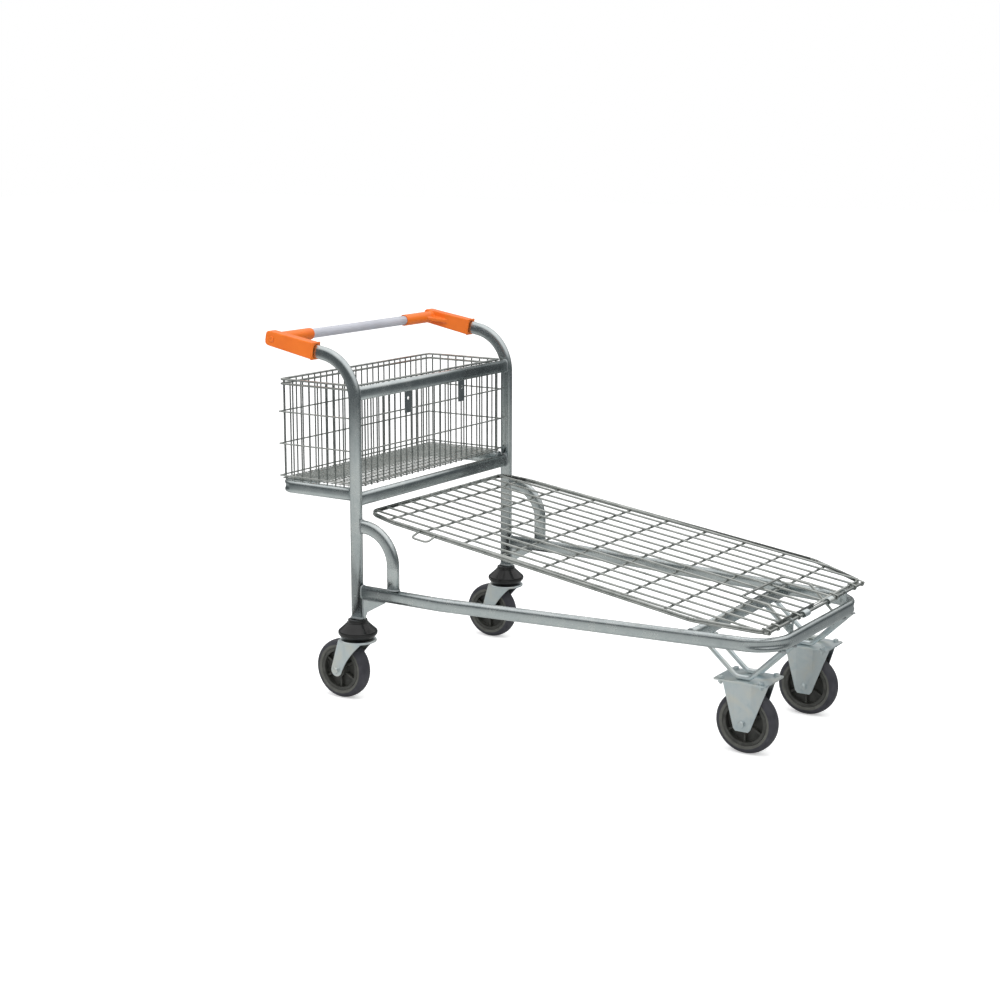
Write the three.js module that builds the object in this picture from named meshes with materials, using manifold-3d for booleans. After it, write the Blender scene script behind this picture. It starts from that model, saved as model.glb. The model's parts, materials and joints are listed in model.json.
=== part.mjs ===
// A nesting luggage trolley: flat-oval steel frame, wire goods basket behind two uprights, and a
// sprung wire deck hinged at the front. +X is forward, +Y is the trolley's left, +Z is up, and the
// floor is z = 0. Everything is in millimetres, measured from the centre plane of the uprights;
// the finished group is then moved so that its origin lies under the middle of the object.
import * as THREE from "three";
import { mergeVertices } from "three/addons/utils/BufferGeometryUtils.js";
import Module from "manifold-3d";

const wasm = await Module();
wasm.setup();

// ---- Clearances ---------------------------------------------------------------------------
const WELD_GAP = 0.3; // between pieces that are welded, clamped or pressed together
const PIN_GAP = 0.4; // radial clearance of a pin in its hole
const RUN_GAP = 1; // between a wheel hub and its fork legs

// ---- Frame tube ---------------------------------------------------------------------------
const TUBE_DEPTH = 36; // the flat oval's long way
const TUBE_WIDTH = 20; // the flat oval's short way
const TUBE_WALL = 2;

// ---- Wheels and castors -------------------------------------------------------------------
const WHEEL_DIAMETER = 160;
const TREAD_WIDTH = 42;
const TYRE_DEPTH = 21; // rubber from tread to rim
const TREAD_SHOULDER_DROP = 6; // chamfer between the tread and the tyre's side
const TREAD_SHOULDER_WIDTH = 7;
const RIM_WIDTH = 38;
const RIM_WALL = 9;
const WEB_THICKNESS = 8;
const HUB_DIAMETER = 40;
const RIB_COUNT = 6;
const RIB_THICKNESS = 5;
const RIB_WIDTH = 28;
const AXLE_DIAMETER = 12;
const AXLE_HEAD_DIAMETER = 20;
const AXLE_HEAD_HEIGHT = 6;
const FORK_SHEET = 3;
const FORK_INNER_WIDTH = 60;
const REAR_TRAIL = 49; // the rear wheel's axle behind its swivel axis
const CROWN_DIAMETER = 100;
const CROWN_CLEARANCE = 5; // wheel to crown
const REAR_LEG_END_RADIUS = 17;
const BUMPER_DIAMETER = 106;
const BUMPER_TOP_DIAMETER = 52;
const BUMPER_FOOT_DIAMETER = 84;
const BUMPER_FOOT_HEIGHT = 19; // from its underside to its widest ring
const BUMPER_HEIGHT = 54;
const BUMPER_EDGE = 6; // straight band at its widest ring
const BUMPER_COLLAR = 8; // straight collar at its top
const KINGPIN_DIAMETER = 12;
const KINGPIN_NUT_DIAMETER = 24;
const KINGPIN_NUT_HEIGHT = 8;
const STEM_PLUG_HEIGHT = 45; // how far the stem's plug reaches up the upright
const FRONT_TRACK = 368; // centre to centre of the front wheels
const FRONT_AXLE_SETBACK = 112; // front axle behind the frame's front face
const FRONT_PLATE_LENGTH = 140;
const FRONT_PLATE_WIDTH = 110;
const FRONT_PLATE_THICKNESS = 4;
const FRONT_PLATE_CLEARANCE = 28; // wheel to plate
const FRONT_LEG_TOP = 134;
const FRONT_LEG_FOOT = 46;
const FRONT_LEG_DROP = 19; // leg below the axle
const FRONT_LEG_CORNER = 6; // chamfer at the leg's foot

// ---- Uprights and handle ------------------------------------------------------------------
const TRACK = 727; // centre to centre of the uprights
const HANDLE_CORNER_Z = 904.5; // where the upright's line meets the handle leg's line
const HANDLE_RISE = 10; // degrees that the handle leg climbs to the rear
const HANDLE_BEND_RADIUS = 118;
const HANDLE_LEG = 228; // tube from that corner to its cut end
const SLEEVE_START = 127; // the elbow's mouth, from that corner
const ELBOW_END = 289;
const ELBOW_WALL = 4;
const ELBOW_TAPER = 5; // the elbow is this much lower at its end than at its mouth
const ELBOW_CORNER_RADIUS = 13;
const MOUTH_RIM_LENGTH = 4;
const MOUTH_RIM_STAND = 1.5;
const GRIP_DISTANCE = 266; // the grip's axis, from that corner
const GRIP_DIAMETER = 26;
const GRIP_WALL = 2.5;
const GRIP_ENGAGEMENT = 36; // length of grip tube inside each socket
const SOCKET_WALL = 3;
const SOCKET_LENGTH = 133.5;
const SCREW_DIAMETER = 5;
const SCREW_LENGTH = 11;
const SCREW_HEAD_DIAMETER = 15;
const SCREW_HEAD_HEIGHT = 2.5;

// ---- Chassis ------------------------------------------------------------------------------
const CHASSIS_Z = 298; // centre of the rail
const CHASSIS_REACH = 1166; // upright centre plane to the rail's front face
const CHASSIS_STRAIGHT = 264; // the rail runs straight this far before it tapers in
const CHASSIS_TAPER = 102.5; // each side, from the upright to the front corner
const CHASSIS_TAPER_RADIUS = 250;
const CHASSIS_CORNER_RADIUS = 87;
const CROSS_MEMBER_SETBACK = 226; // its centre behind the frame's front face
const ARCH_TOP_Z = 474;
const ARCH_REACH = 100;
const ARCH_RADIUS = 96;
const GUSSET_LENGTH = 72;
const GUSSET_TOE = 4; // width of its foot
const GUSSET_TIP = 3; // height of its front end
const GUSSET_WAIST = 36; // height and width of the bend in its long edge
const GUSSET_WAIST_WIDTH = 13;
const GUSSET_THICKNESS = 5;
const HANGER_ROD_DIAMETER = 12;
const HANGER_ROD_SPACING = 60;
const HANGER_ROD_FLAT = 36; // straight bottom of the V on the castor plate
const HANGER_ROD_RADIUS = 14;

// ---- Basket -------------------------------------------------------------------------------
const TOP_RAIL_Z = 821.5;
const LOWER_RAIL_Z = 543;
const BASE_RAIL_Z = 551;
const BASKET_DEPTH = 263.5; // upright centre plane to the centre of the rear base rail
const BASKET_SIDE_CLEARANCE = 4; // base rail to upright
const BASE_RAIL_RADIUS = 30;
const BASKET_WIRE = 4;
const RIM_WIRE = 6;
const RIM_STAND = 1.8; // rim wire's underside below the top rail's crest
const WALL_ROWS = 3;
const SIDE_COLUMNS = 5;
const CROSS_COLUMNS = 9;
const FLOOR_ROWS = 4;
const FLOOR_LIFT = 2; // floor mesh above the base rail
const HANGER_PLATE_Y = 128;
const HANGER_PLATE_WIDTH = 28;
const HANGER_PLATE_HEIGHT = 58;
const HANGER_PLATE_THICKNESS = 3;
const HANGER_HOLE_DIAMETER = 10;
const HANGER_HOLE_DROP = 18;

// ---- Deck ---------------------------------------------------------------------------------
const DECK_HINGE_SETBACK = 17; // hinge axis behind the frame's front face
const DECK_HINGE_HEIGHT = 25; // hinge axis above the chassis rail
const DECK_REAR_LINE = 9; // the raised deck's rear edge ahead of the upright centre plane
const DECK_REAR_CLEARANCE = 17; // raised deck to lower basket rail
const DECK_WIRE = 6;
const DECK_EDGE_WIRE = 8;
const DECK_SIDE_CLEARANCE = 8.5; // deck edge to upright, where the deck passes between them
const DECK_REAR_TAPER = 20;
const DECK_REAR_TAPER_LENGTH = 92;
const DECK_FLARE = 20;
const DECK_FRONT_TAPER = 48; // front corner inside the deck's rear width
const DECK_KNEE = 166; // from the hinge to the widest point
const LONG_WIRE_PITCH = 100; // every second long wire
const CROSS_WIRE_PITCH = 119;
const LOOP_SETBACK = 208; // rest loop's middle, from the deck's rear edge
const LOOP_LENGTH = 50;
const LOOP_REACH = 33;
const LOOP_DROP = 10;
const LOOP_RADIUS = 12;
const BOW_WIRE = 7;
const BOW_HALF_WIDTH = 125;
const BOW_NEAR = 78; // from the hinge to the bow's bend
const BOW_FAR = 152; // from the hinge to the bow's cross bar
const BOW_RADIUS = 14;
const BOW_CLEARANCE = 0.5;
const BRACKET_Y = 165;
const BRACKET_THICKNESS = 5;
const BRACKET_WALL = 3.5;
const SPRING_Y = 75;
const SPRING_LENGTH = 32;
const SPRING_WIRE = 3;

// ---- Fineness of round shapes -------------------------------------------------------------
const OVAL_END_STEPS = 4;
const WIRE_SIDES = 8;
const ROUND_SIDES = 20;

// ---- Places worked out from the sizes above -------------------------------------------------
const uprightY = TRACK / 2;
const uprightFace = TUBE_DEPTH / 2;
const innerHalf = uprightY - TUBE_WIDTH / 2;
const wheelRadius = WHEEL_DIAMETER / 2;
const crownZ = WHEEL_DIAMETER + CROWN_CLEARANCE;
const bumperZ = crownZ + FORK_SHEET + PIN_GAP;
const uprightFootZ = bumperZ + BUMPER_HEIGHT + WELD_GAP;
const railTop = CHASSIS_Z + TUBE_DEPTH / 2;
const railBottom = CHASSIS_Z - TUBE_DEPTH / 2;
const frontRailX = CHASSIS_REACH - TUBE_WIDTH / 2;
const chassisFrontHalf = uprightY - CHASSIS_TAPER;
const frontAxleX = CHASSIS_REACH - FRONT_AXLE_SETBACK;
const frontPlateZ = WHEEL_DIAMETER + FRONT_PLATE_CLEARANCE;
const frontPlateTop = frontPlateZ + FRONT_PLATE_THICKNESS;
const baseRailTop = BASE_RAIL_Z + TUBE_DEPTH / 2;
const baseRailY = innerHalf - BASKET_SIDE_CLEARANCE - TUBE_WIDTH / 2;
const rimZ = TOP_RAIL_Z + TUBE_DEPTH / 2 - RIM_STAND;
const wallTop = rimZ - WELD_GAP;
const wallBottom = baseRailTop + WELD_GAP;
const wallY = baseRailY + TUBE_WIDTH / 4;
const frontWallX = -TUBE_WIDTH / 2 - WELD_GAP - BASKET_WIRE / 2;
const hingeX = CHASSIS_REACH - DECK_HINGE_SETBACK;
const hingeZ = railTop + DECK_HINGE_HEIGHT;
const deckRearZ = LOWER_RAIL_Z - TUBE_DEPTH / 2 - DECK_REAR_CLEARANCE - DECK_WIRE / 2;
const deckRun = hingeX - DECK_REAR_LINE;
const deckAngle = Math.atan2(deckRearZ - hingeZ, deckRun);
const deckLength = Math.hypot(deckRearZ - hingeZ, deckRun);
const deckRearHalf = innerHalf - DECK_SIDE_CLEARANCE;
const loopCentre = deckLength - LOOP_SETBACK;
const handleRise = THREE.MathUtils.degToRad(HANDLE_RISE);

const UP = new THREE.Vector3(0, 0, 1);
const ACROSS = new THREE.Vector3(0, 1, 0);

// ---- Materials ----------------------------------------------------------------------------
const zinc = [0x98a0a2, 0.38, 0.9];
const wireZinc = [0x9ba1a0, 0.42, 0.9];
const brightZinc = [0xb4c0c2, 0.34, 0.9];
const orangePlastic = [0xeb7323, 0.5, 0];
const greyPlastic = [0xb4b6c0, 0.55, 0];
const blackPlastic = [0x17181a, 0.4, 0];
const darkHub = [0x2b2d28, 0.6, 0];
const greyRubber = [0x45454c, 0.8, 0];

const trolley = new THREE.Group();

// Names a geometry as one piece of the trolley and puts it in a group.
function addPiece(name, geometry, finish, parent = trolley) {
  const [color, roughness, metalness] = finish;
  const material = new THREE.MeshStandardMaterial({ color, roughness, metalness });
  const mesh = new THREE.Mesh(geometry, material);
  mesh.name = name;
  parent.add(mesh);
  return mesh;
}

// ---- Solids ---------------------------------------------------------------------------------
function toSolid(geometry) {
  const bare = geometry.clone();
  bare.deleteAttribute("normal");
  bare.deleteAttribute("uv");
  const merged = mergeVertices(bare, 1e-4);
  const vertProperties = new Float32Array(merged.attributes.position.array);
  const triVerts = new Uint32Array(merged.index.array);
  return new wasm.Manifold(new wasm.Mesh({ numProp: 3, vertProperties, triVerts }));
}

function toGeometry(solid) {
  const { vertProperties, triVerts } = solid.getMesh();
  const geometry = new THREE.BufferGeometry();
  geometry.setAttribute("position", new THREE.BufferAttribute(vertProperties, 3));
  geometry.setIndex(new THREE.BufferAttribute(triVerts, 1));
  return geometry;
}

// Joins the first geometries into one and cuts the second ones away.
function carve(joined, cut = []) {
  let solid = toSolid(joined[0]);
  for (const geometry of joined.slice(1)) {
    solid = solid.add(toSolid(geometry));
  }
  for (const geometry of cut) {
    solid = solid.subtract(toSolid(geometry));
  }
  return toGeometry(solid);
}

// ---- Outlines -------------------------------------------------------------------------------
// A flat oval or a circle, with the same number of steps round each end.
function flatOval(across, tall, steps = OVAL_END_STEPS) {
  const radius = Math.min(across, tall) / 2;
  const turned = across > tall ? -Math.PI / 2 : 0;
  const points = [];
  for (const end of [1, -1]) {
    for (let i = 0; i <= steps; i++) {
      const angle = turned + (Math.PI * i) / steps + (end < 0 ? Math.PI : 0);
      const x = radius * Math.cos(angle) + (across / 2 - radius) * end;
      const y = radius * Math.sin(angle) + (tall / 2 - radius) * end;
      points.push(new THREE.Vector2(x, y));
    }
  }
  return new THREE.Shape(across === tall ? points.filter((p, i) => i % (steps + 1)) : points);
}

function tubeSection(across, tall) {
  const shape = flatOval(across, tall);
  shape.holes.push(flatOval(across - 2 * TUBE_WALL, tall - 2 * TUBE_WALL));
  return shape;
}

function polygon(points) {
  return new THREE.Shape(points.map(([x, y]) => new THREE.Vector2(x, y)));
}

function circleHole(x, y, radius, sides = ROUND_SIDES / 2) {
  const points = [];
  for (let i = 0; i < sides; i++) {
    const angle = (2 * Math.PI * i) / sides;
    points.push([x + radius * Math.cos(angle), y + radius * Math.sin(angle)]);
  }
  return polygon(points);
}

// ---- Tubes, rods, plates and turned pieces ----------------------------------------------------
// A route that is stepped exactly at its stations. A flat route keeps the section's y along `up`.
class Route extends THREE.Curve {
  constructor(stations, up) {
    super();
    this.stations = stations;
    this.up = up;
  }

  getPoint(t, target = new THREE.Vector3()) {
    const last = this.stations.length - 1;
    const place = THREE.MathUtils.clamp(t, 0, 1) * last;
    const i = Math.min(Math.floor(place), last - 1);
    return target.lerpVectors(this.stations[i], this.stations[i + 1], place - i);
  }

  getUtoTmapping(u) {
    return u;
  }

  computeFrenetFrames(segments) {
    if (!this.up) {
      return super.computeFrenetFrames(segments, false);
    }
    const frames = { tangents: [], normals: [], binormals: [] };
    for (let i = 0; i <= segments; i++) {
      const tangent = this.getTangentAt(i / segments);
      frames.tangents.push(tangent);
      frames.normals.push(new THREE.Vector3().crossVectors(this.up, tangent));
      frames.binormals.push(this.up.clone());
    }
    return frames;
  }
}

// Stations along straight legs that are joined by round bends.
function bentRoute(corners, radii, steps, up) {
  const places = corners.map((corner) => new THREE.Vector3(...corner));
  const stations = [places[0]];
  for (let i = 1; i < places.length - 1; i++) {
    const back = places[i - 1].clone().sub(places[i]).normalize();
    const ahead = places[i + 1].clone().sub(places[i]).normalize();
    const halfAngle = back.angleTo(ahead) / 2;
    const radius = radii[i - 1];
    const middle = back.clone().add(ahead).normalize();
    const centre = places[i].clone().addScaledVector(middle, radius / Math.sin(halfAngle));
    const start = places[i].clone().addScaledVector(back, radius / Math.tan(halfAngle));
    const arm = start.sub(centre);
    const axis = new THREE.Vector3().crossVectors(ahead, back).normalize();
    for (let k = 0; k <= steps; k++) {
      const turn = ((Math.PI - 2 * halfAngle) * k) / steps;
      stations.push(arm.clone().applyAxisAngle(axis, turn).add(centre));
    }
  }
  stations.push(places.at(-1));
  return new Route(stations, up);
}

function sweep(shape, route) {
  const steps = route.stations.length - 1;
  return new THREE.ExtrudeGeometry(shape, { steps, extrudePath: route });
}

function rod(diameter, route) {
  return sweep(flatOval(diameter, diameter, WIRE_SIDES / 2), route);
}

// A flat plate drawn in x and y, with its thickness centred on z = 0.
function plate(shape, thickness) {
  const made = new THREE.ExtrudeGeometry(shape, { depth: thickness, bevelEnabled: false });
  return made.translate(0, 0, -thickness / 2);
}

// Stands a flat plate up lengthways: its y becomes z, at the y given.
function sideways(flat, y = 0) {
  return flat.rotateX(Math.PI / 2).translate(0, y, 0);
}

// Stands a flat plate up across the trolley: its x becomes y and its y becomes z, at the x given.
function crossways(flat, x = 0) {
  return flat.rotateX(Math.PI / 2).rotateZ(Math.PI / 2).translate(x, 0, 0);
}

// A turned piece about the y axis: pairs of radius and y, going round the section.
function turned(profile, sides = ROUND_SIDES) {
  const points = profile.map(([radius, y]) => new THREE.Vector2(radius, y));
  return new THREE.LatheGeometry(points, sides).rotateY(Math.PI / sides);
}

// The same about the z axis.
function turnedUpright(profile, sides = ROUND_SIDES) {
  return turned(profile, sides).rotateX(Math.PI / 2);
}

function pin(radius, from, to, sides = ROUND_SIDES / 2) {
  return turned([[0, from], [radius, from], [radius, to], [0, to]], sides);
}

// A flat bar grille: a rectangle with equal openings.
function grille(left, right, low, high, columns, rows, bar, thickness) {
  const frame = [[left, low], [right, low], [right, high], [left, high]];
  const pitchX = (right - left - bar) / columns;
  const pitchY = (high - low - bar) / rows;
  const openings = [];
  for (let i = 0; i < columns; i++) {
    for (let j = 0; j < rows; j++) {
      const opening = new THREE.BoxGeometry(pitchX - bar, pitchY - bar, 2 * thickness);
      const x = left + bar / 2 + (i + 0.5) * pitchX;
      const y = low + bar / 2 + (j + 0.5) * pitchY;
      openings.push(opening.translate(x, y, 0));
    }
  }
  return carve([plate(polygon(frame), thickness)], openings);
}

// ---- Uprights: a post that bends back into the handle leg -------------------------------------
function upright(y) {
  const corners = [
    [0, y, uprightFootZ],
    [0, y, HANDLE_CORNER_Z],
    [-HANDLE_LEG * Math.cos(handleRise), y, HANDLE_CORNER_Z + HANDLE_LEG * Math.sin(handleRise)],
  ];
  const route = bentRoute(corners, [HANDLE_BEND_RADIUS], 6, ACROSS);
  return sweep(tubeSection(TUBE_DEPTH, TUBE_WIDTH), route);
}

// ---- Moulded elbow: a sleeve over the handle leg with a socket for the grip --------------------
// Drawn along the handle leg's own line, so x is minus the distance from the corner.
function elbow(side) {
  const mouthHalf = TUBE_DEPTH / 2 + PIN_GAP + ELBOW_WALL;
  const endHalf = mouthHalf - ELBOW_TAPER / 2;
  const width = TUBE_WIDTH + 2 * (PIN_GAP + ELBOW_WALL);
  const outline = new THREE.Shape();
  outline.moveTo(-SLEEVE_START, -mouthHalf);
  outline.lineTo(-SLEEVE_START, mouthHalf);
  outline.lineTo(-ELBOW_END + ELBOW_CORNER_RADIUS, endHalf);
  outline.quadraticCurveTo(-ELBOW_END, endHalf, -ELBOW_END, endHalf - ELBOW_CORNER_RADIUS);
  outline.lineTo(-ELBOW_END, -endHalf + ELBOW_CORNER_RADIUS);
  outline.quadraticCurveTo(-ELBOW_END, -endHalf, -ELBOW_END + ELBOW_CORNER_RADIUS, -endHalf);
  outline.closePath();
  const sleeveShape = { depth: width, bevelEnabled: false, curveSegments: 4 };
  const sleeve = new THREE.ExtrudeGeometry(outline, sleeveShape);
  sleeve.translate(0, 0, -width / 2).rotateX(Math.PI / 2);

  const rimSide = 2 * MOUTH_RIM_STAND;
  const rimSpan = new THREE.BoxGeometry(MOUTH_RIM_LENGTH, width + rimSide, 2 * mouthHalf + rimSide);
  rimSpan.translate(-SLEEVE_START - MOUTH_RIM_LENGTH / 2, 0, 0);

  const inner = -side * (width / 2 + SOCKET_LENGTH);
  const socketRadius = GRIP_DIAMETER / 2 + PIN_GAP + SOCKET_WALL;
  const socket = pin(socketRadius, Math.min(0, inner), Math.max(0, inner), ROUND_SIDES);
  socket.translate(-GRIP_DISTANCE, 0, 0);

  const pocketEnd = HANDLE_LEG + WELD_GAP;
  const pocketRoute = new Route(
    [new THREE.Vector3(-SLEEVE_START + 1, 0, 0), new THREE.Vector3(-pocketEnd, 0, 0)],
    ACROSS,
  );
  const pocket = sweep(flatOval(TUBE_DEPTH + 2 * PIN_GAP, TUBE_WIDTH + 2 * PIN_GAP), pocketRoute);

  const boreRadius = GRIP_DIAMETER / 2 + PIN_GAP;
  const boreFrom = inner - side;
  const boreTo = inner + side * (GRIP_ENGAGEMENT + WELD_GAP);
  const bore = pin(boreRadius, Math.min(boreFrom, boreTo), Math.max(boreFrom, boreTo), ROUND_SIDES);
  bore.translate(-GRIP_DISTANCE, 0, 0);

  const holeFrom = side * (width / 2 + 1);
  const holeTo = side * (width / 2 - SCREW_LENGTH - WELD_GAP);
  const holeRadius = SCREW_DIAMETER / 2 + WELD_GAP;
  const hole = pin(holeRadius, Math.min(holeFrom, holeTo), Math.max(holeFrom, holeTo));
  hole.translate(-GRIP_DISTANCE, 0, 0);

  return carve([sleeve, rimSpan, socket], [pocket, bore, hole]);
}

function elbowScrew(side) {
  const seat = (TUBE_WIDTH / 2 + PIN_GAP + ELBOW_WALL + WELD_GAP) * side;
  const profile = [
    [0, seat - side * SCREW_LENGTH],
    [SCREW_DIAMETER / 2, seat - side * SCREW_LENGTH],
    [SCREW_DIAMETER / 2, seat],
    [SCREW_HEAD_DIAMETER / 2, seat],
    [SCREW_HEAD_DIAMETER / 2, seat + side * SCREW_HEAD_HEIGHT],
    [0, seat + side * SCREW_HEAD_HEIGHT],
  ];
  return turned(side > 0 ? profile : profile.reverse(), ROUND_SIDES / 2).translate(-GRIP_DISTANCE, 0, 0);
}

// ---- Chassis ---------------------------------------------------------------------------------
function chassisRail() {
  const start = uprightFace + WELD_GAP;
  const corners = [
    [start, -uprightY, CHASSIS_Z],
    [CHASSIS_STRAIGHT, -uprightY, CHASSIS_Z],
    [frontRailX, -chassisFrontHalf, CHASSIS_Z],
    [frontRailX, chassisFrontHalf, CHASSIS_Z],
    [CHASSIS_STRAIGHT, uprightY, CHASSIS_Z],
    [start, uprightY, CHASSIS_Z],
  ];
  const bend = CHASSIS_TAPER_RADIUS;
  const corner = CHASSIS_CORNER_RADIUS;
  const route = bentRoute(corners, [bend, corner, corner, bend], 4, UP);
  return sweep(tubeSection(TUBE_WIDTH, TUBE_DEPTH), route);
}

// The side rail's inner face, as a distance from the middle of the trolley.
function railInnerHalf(x) {
  const slope = CHASSIS_TAPER / (frontRailX - CHASSIS_STRAIGHT);
  const centre = uprightY - slope * Math.max(0, x - CHASSIS_STRAIGHT);
  return centre - (TUBE_WIDTH / 2) * Math.hypot(1, slope);
}

function straightRail(x, z, half) {
  const ends = [new THREE.Vector3(x, -half, z), new THREE.Vector3(x, half, z)];
  return sweep(tubeSection(TUBE_WIDTH, TUBE_DEPTH), new Route(ends, UP));
}

function archBrace(y) {
  const legX = uprightFace + ARCH_REACH;
  const corners = [
    [uprightFace + WELD_GAP, y, ARCH_TOP_Z],
    [legX, y, ARCH_TOP_Z],
    [legX, y, railTop + WELD_GAP],
  ];
  return sweep(tubeSection(TUBE_DEPTH, TUBE_WIDTH), bentRoute(corners, [ARCH_RADIUS], 6, ACROSS));
}

function gusset(y) {
  const back = uprightFace + WELD_GAP;
  const top = railBottom - WELD_GAP;
  const outline = [
    [back, top],
    [back, uprightFootZ],
    [back + GUSSET_TOE, uprightFootZ],
    [back + GUSSET_WAIST_WIDTH, top - GUSSET_WAIST],
    [back + GUSSET_LENGTH, top - GUSSET_TIP],
    [back + GUSSET_LENGTH, top],
  ];
  return sideways(plate(polygon(outline), GUSSET_THICKNESS), y);
}

// A V of round rod that hangs the castor plate from the cross member and the front rail.
function hangerRod(y) {
  const radius = HANGER_ROD_DIAMETER / 2;
  const lowZ = frontPlateTop + radius + WELD_GAP;
  const highZ = railBottom - radius - WELD_GAP;
  const corners = [
    [CHASSIS_REACH - CROSS_MEMBER_SETBACK, y, highZ],
    [frontAxleX - HANGER_ROD_FLAT / 2, y, lowZ],
    [frontAxleX + HANGER_ROD_FLAT / 2, y, lowZ],
    [frontRailX, y, highZ],
  ];
  return rod(HANGER_ROD_DIAMETER, bentRoute(corners, [HANGER_ROD_RADIUS, HANGER_ROD_RADIUS], 2, ACROSS));
}

// ---- Basket ----------------------------------------------------------------------------------
function baseRail() {
  const front = -TUBE_WIDTH / 2 - WELD_GAP;
  const corners = [
    [front, baseRailY, BASE_RAIL_Z],
    [-BASKET_DEPTH, baseRailY, BASE_RAIL_Z],
    [-BASKET_DEPTH, -baseRailY, BASE_RAIL_Z],
    [front, -baseRailY, BASE_RAIL_Z],
  ];
  const route = bentRoute(corners, [BASE_RAIL_RADIUS, BASE_RAIL_RADIUS], 4, UP);
  return sweep(tubeSection(TUBE_WIDTH, TUBE_DEPTH), route);
}

function sideWall(y) {
  const rear = -BASKET_DEPTH - BASKET_WIRE / 2;
  const front = frontWallX + BASKET_WIRE / 2;
  const wall = grille(rear, front, wallBottom, wallTop, SIDE_COLUMNS, WALL_ROWS, BASKET_WIRE, BASKET_WIRE);
  return sideways(wall, y);
}

function crossWall(x) {
  const half = wallY - BASKET_WIRE / 2 - WELD_GAP;
  const wall = grille(-half, half, wallBottom, wallTop, CROSS_COLUMNS, WALL_ROWS, BASKET_WIRE, BASKET_WIRE);
  return crossways(wall, x);
}

function basketFloor() {
  const half = wallY - BASKET_WIRE / 2 - WELD_GAP;
  const rear = -BASKET_DEPTH + BASKET_WIRE / 2 + WELD_GAP;
  const front = frontWallX - BASKET_WIRE / 2 - WELD_GAP;
  const floor = grille(rear, front, -half, half, FLOOR_ROWS, CROSS_COLUMNS, BASKET_WIRE, BASKET_WIRE);
  return floor.translate(0, 0, baseRailTop + FLOOR_LIFT + BASKET_WIRE / 2);
}

function basketRim() {
  const half = wallY + RIM_WIRE / 2;
  const rear = -BASKET_DEPTH - RIM_WIRE / 2;
  const front = -TUBE_WIDTH / 2 - WELD_GAP;
  const ring = grille(rear, front, -half, half, 1, 1, RIM_WIRE, RIM_WIRE);
  return ring.translate(0, 0, rimZ + RIM_WIRE / 2);
}

function hangerPlate(y) {
  const top = TOP_RAIL_Z - TUBE_DEPTH / 2 - WELD_GAP;
  const low = top - HANGER_PLATE_HEIGHT;
  const half = HANGER_PLATE_WIDTH / 2;
  const shape = polygon([[y - half, low], [y + half, low], [y + half, top], [y - half, top]]);
  shape.holes.push(circleHole(y, top - HANGER_HOLE_DROP, HANGER_HOLE_DIAMETER / 2));
  return crossways(plate(shape, HANGER_PLATE_THICKNESS));
}

// ---- Wheels ----------------------------------------------------------------------------------
// The tread's flats touch the true circle, so that a wheel stands on a flat.
function tyre() {
  const tread = wheelRadius / Math.cos(Math.PI / ROUND_SIDES);
  const inner = wheelRadius - TYRE_DEPTH;
  const half = TREAD_WIDTH / 2;
  const seat = RIM_WIDTH / 2;
  const profile = [
    [inner, -seat],
    [tread - TREAD_SHOULDER_DROP, -half],
    [tread, -half + TREAD_SHOULDER_WIDTH],
    [tread, half - TREAD_SHOULDER_WIDTH],
    [tread - TREAD_SHOULDER_DROP, half],
    [inner, seat],
    [inner, -seat],
  ];
  return turned(profile);
}

function rim() {
  const outer = wheelRadius - TYRE_DEPTH - WELD_GAP;
  const inner = outer - RIM_WALL;
  const bore = AXLE_DIAMETER / 2 + PIN_GAP;
  const hub = HUB_DIAMETER / 2;
  const hubHalf = FORK_INNER_WIDTH / 2 - RUN_GAP;
  const half = RIM_WIDTH / 2;
  const web = WEB_THICKNESS / 2;
  const profile = [
    [bore, -hubHalf],
    [hub, -hubHalf],
    [hub, -web],
    [inner, -web],
    [inner, -half],
    [outer, -half],
    [outer, half],
    [inner, half],
    [inner, web],
    [hub, web],
    [hub, hubHalf],
    [bore, hubHalf],
    [bore, -hubHalf],
  ];
  const ribs = [];
  const ribFrom = hub - 2;
  const ribLength = inner + RIM_WALL / 2 - ribFrom;
  for (let i = 0; i < RIB_COUNT; i++) {
    const rib = new THREE.BoxGeometry(ribLength, RIB_WIDTH, RIB_THICKNESS);
    rib.translate(ribFrom + ribLength / 2, 0, 0).rotateY((2 * Math.PI * i) / RIB_COUNT);
    ribs.push(rib);
  }
  return carve([turned(profile), ...ribs]);
}

// Axle bolt with its head and nut outside the fork legs.
function axle() {
  const face = FORK_INNER_WIDTH / 2 + FORK_SHEET + WELD_GAP;
  const shank = AXLE_DIAMETER / 2;
  const head = AXLE_HEAD_DIAMETER / 2;
  const end = face + AXLE_HEAD_HEIGHT;
  const profile = [
    [0, -end],
    [head, -end],
    [head, -face],
    [shank, -face],
    [shank, face],
    [head, face],
    [head, end],
    [0, end],
  ];
  return turned(profile, ROUND_SIDES / 2);
}

function legPlates(shape) {
  const y = (FORK_INNER_WIDTH + FORK_SHEET) / 2;
  return [sideways(plate(shape, FORK_SHEET), -y), sideways(plate(shape, FORK_SHEET), y)];
}

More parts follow.
